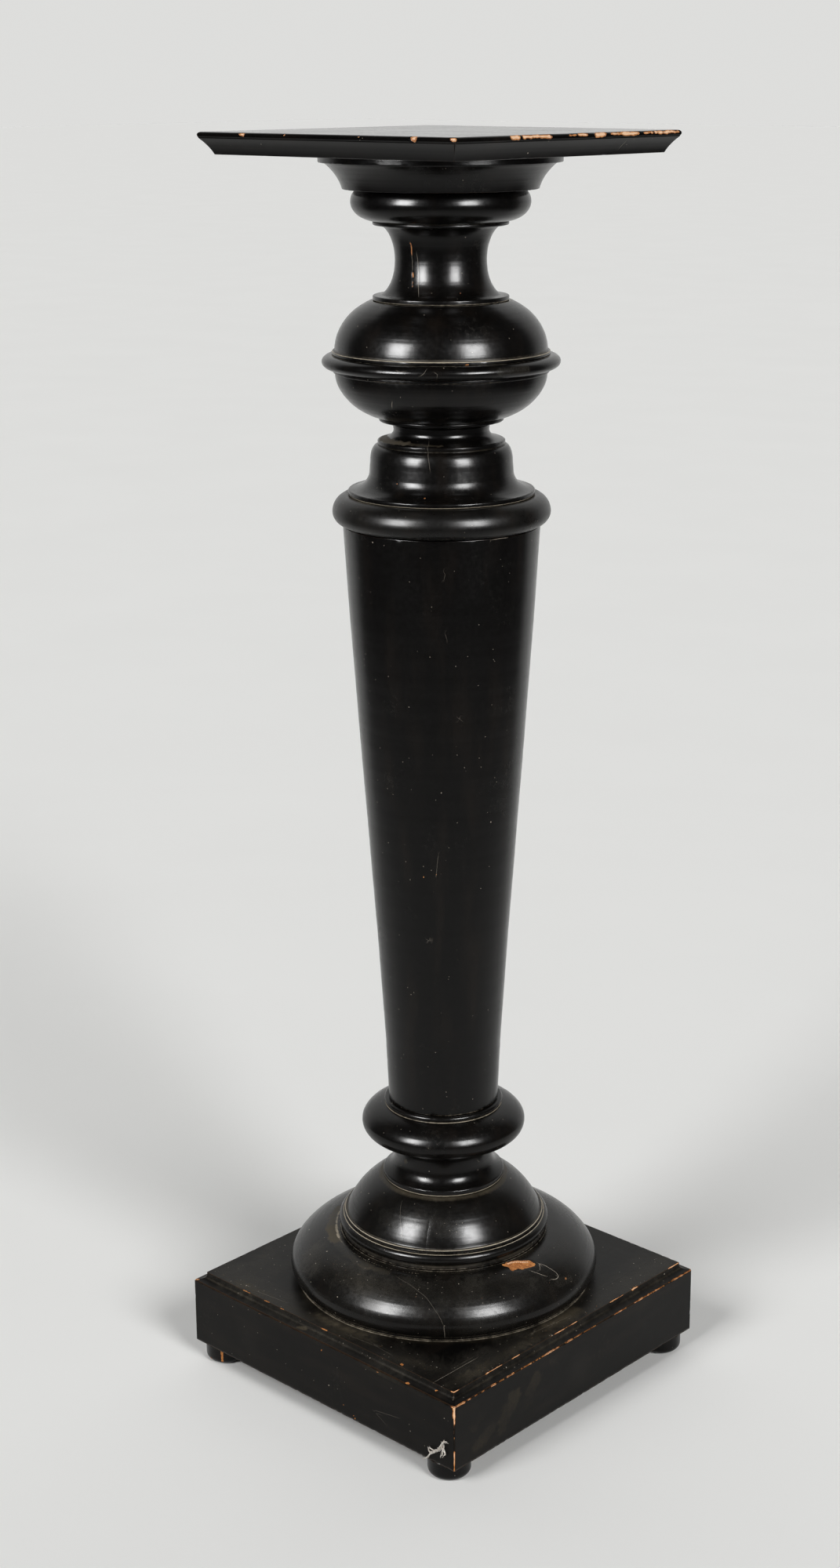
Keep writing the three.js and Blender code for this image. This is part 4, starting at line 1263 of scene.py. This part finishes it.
def surroundings():
    """A pale studio behind the object and a dim room in front. Seen directly, it is pale all round."""
    world = bpy.data.worlds.new("studio")
    bpy.context.scene.world = world
    n = Nodes(world)
    towards = n.along(n.make("ShaderNodeTexCoord").outputs["Generated"], TO_CAMERA)
    room = n.make("ShaderNodeBackground", {0: (1, 1, 0.985, 1), 1: n.ramp(towards, -0.70, -0.35, 0.74, 0.06)})
    seen = n.make("ShaderNodeBackground", {0: PALE})
    direct = n.make("ShaderNodeLightPath").outputs["Is Camera Ray"]
    both = n.make("ShaderNodeMixShader", {0: direct, 1: room.outputs[0], 2: seen.outputs[0]})
    n.make("ShaderNodeOutputWorld", {0: both.outputs[0]})


def aim(made, target):
    made.rotation_euler = (Vector(target) - made.location).to_track_quat("-Z", "Y").to_euler()


def placed(name, data):
    made = bpy.data.objects.new(name, data)
    bpy.context.scene.collection.objects.link(made)
    return made


BOX_WIDTH, BOX_TALL, BOX_AWAY, BOX_UP, BOX_AIM = 0.70, 0.95, 1.85, 1.55, 0.95


def soft_box(name, turn, power):
    """A tall soft box beside the camera. It gives the gloss; the floor is lit by the suns."""
    azimuth = math.radians(CAMERA_AZIMUTH + turn)
    light = bpy.data.lights.new(name, "AREA")
    light.shape = "RECTANGLE"
    light.size, light.size_y = BOX_WIDTH, BOX_TALL
    light.energy = power
    made = placed(name, light)
    made.location = (BOX_AWAY * math.sin(azimuth), -BOX_AWAY * math.cos(azimuth), BOX_UP)
    aim(made, (0, 0, BOX_AIM))
    made.visible_diffuse = False
    made.visible_camera = False


def sun(name, turn, elevation, power, spread_degrees):
    """A wide sun that lights the floor and the matt surfaces, and gives no gloss."""
    azimuth, up = math.radians(CAMERA_AZIMUTH + turn), math.radians(elevation)
    light = bpy.data.lights.new(name, "SUN")
    light.energy = power
    light.angle = math.radians(spread_degrees)
    made = placed(name, light)
    level = 3 * math.cos(up)
    made.location = (level * math.sin(azimuth), -level * math.cos(azimuth), 3 * math.sin(up))
    aim(made, (0, 0, 0))
    made.visible_glossy = False


floor()
surroundings()
soft_box("soft_box_left", -47, 112)
soft_box("soft_box_right", 35.5, 97)
sun("fill_left", -47, 38, 1.52, 24)
sun("fill_right", 36, 34, 1.66, 24)

camera_data = bpy.data.cameras.new("camera")
camera_data.sensor_fit = "AUTO"
camera_data.lens = CAMERA_LENS
camera_data.shift_x = CAMERA_SHIFT
camera = placed("camera", camera_data)
camera.location = TO_CAMERA * CAMERA_DISTANCE + Vector((0, 0, CAMERA_HEIGHT))
turned_to = Euler((math.radians(90 - CAMERA_PITCH), 0, CAMERA_TURN)).to_matrix()
camera.rotation_euler = (turned_to @ Euler((0, 0, math.radians(CAMERA_ROLL))).to_matrix()).to_euler()
bpy.context.scene.camera = camera
bpy.context.scene.view_settings.view_transform = "Standard"
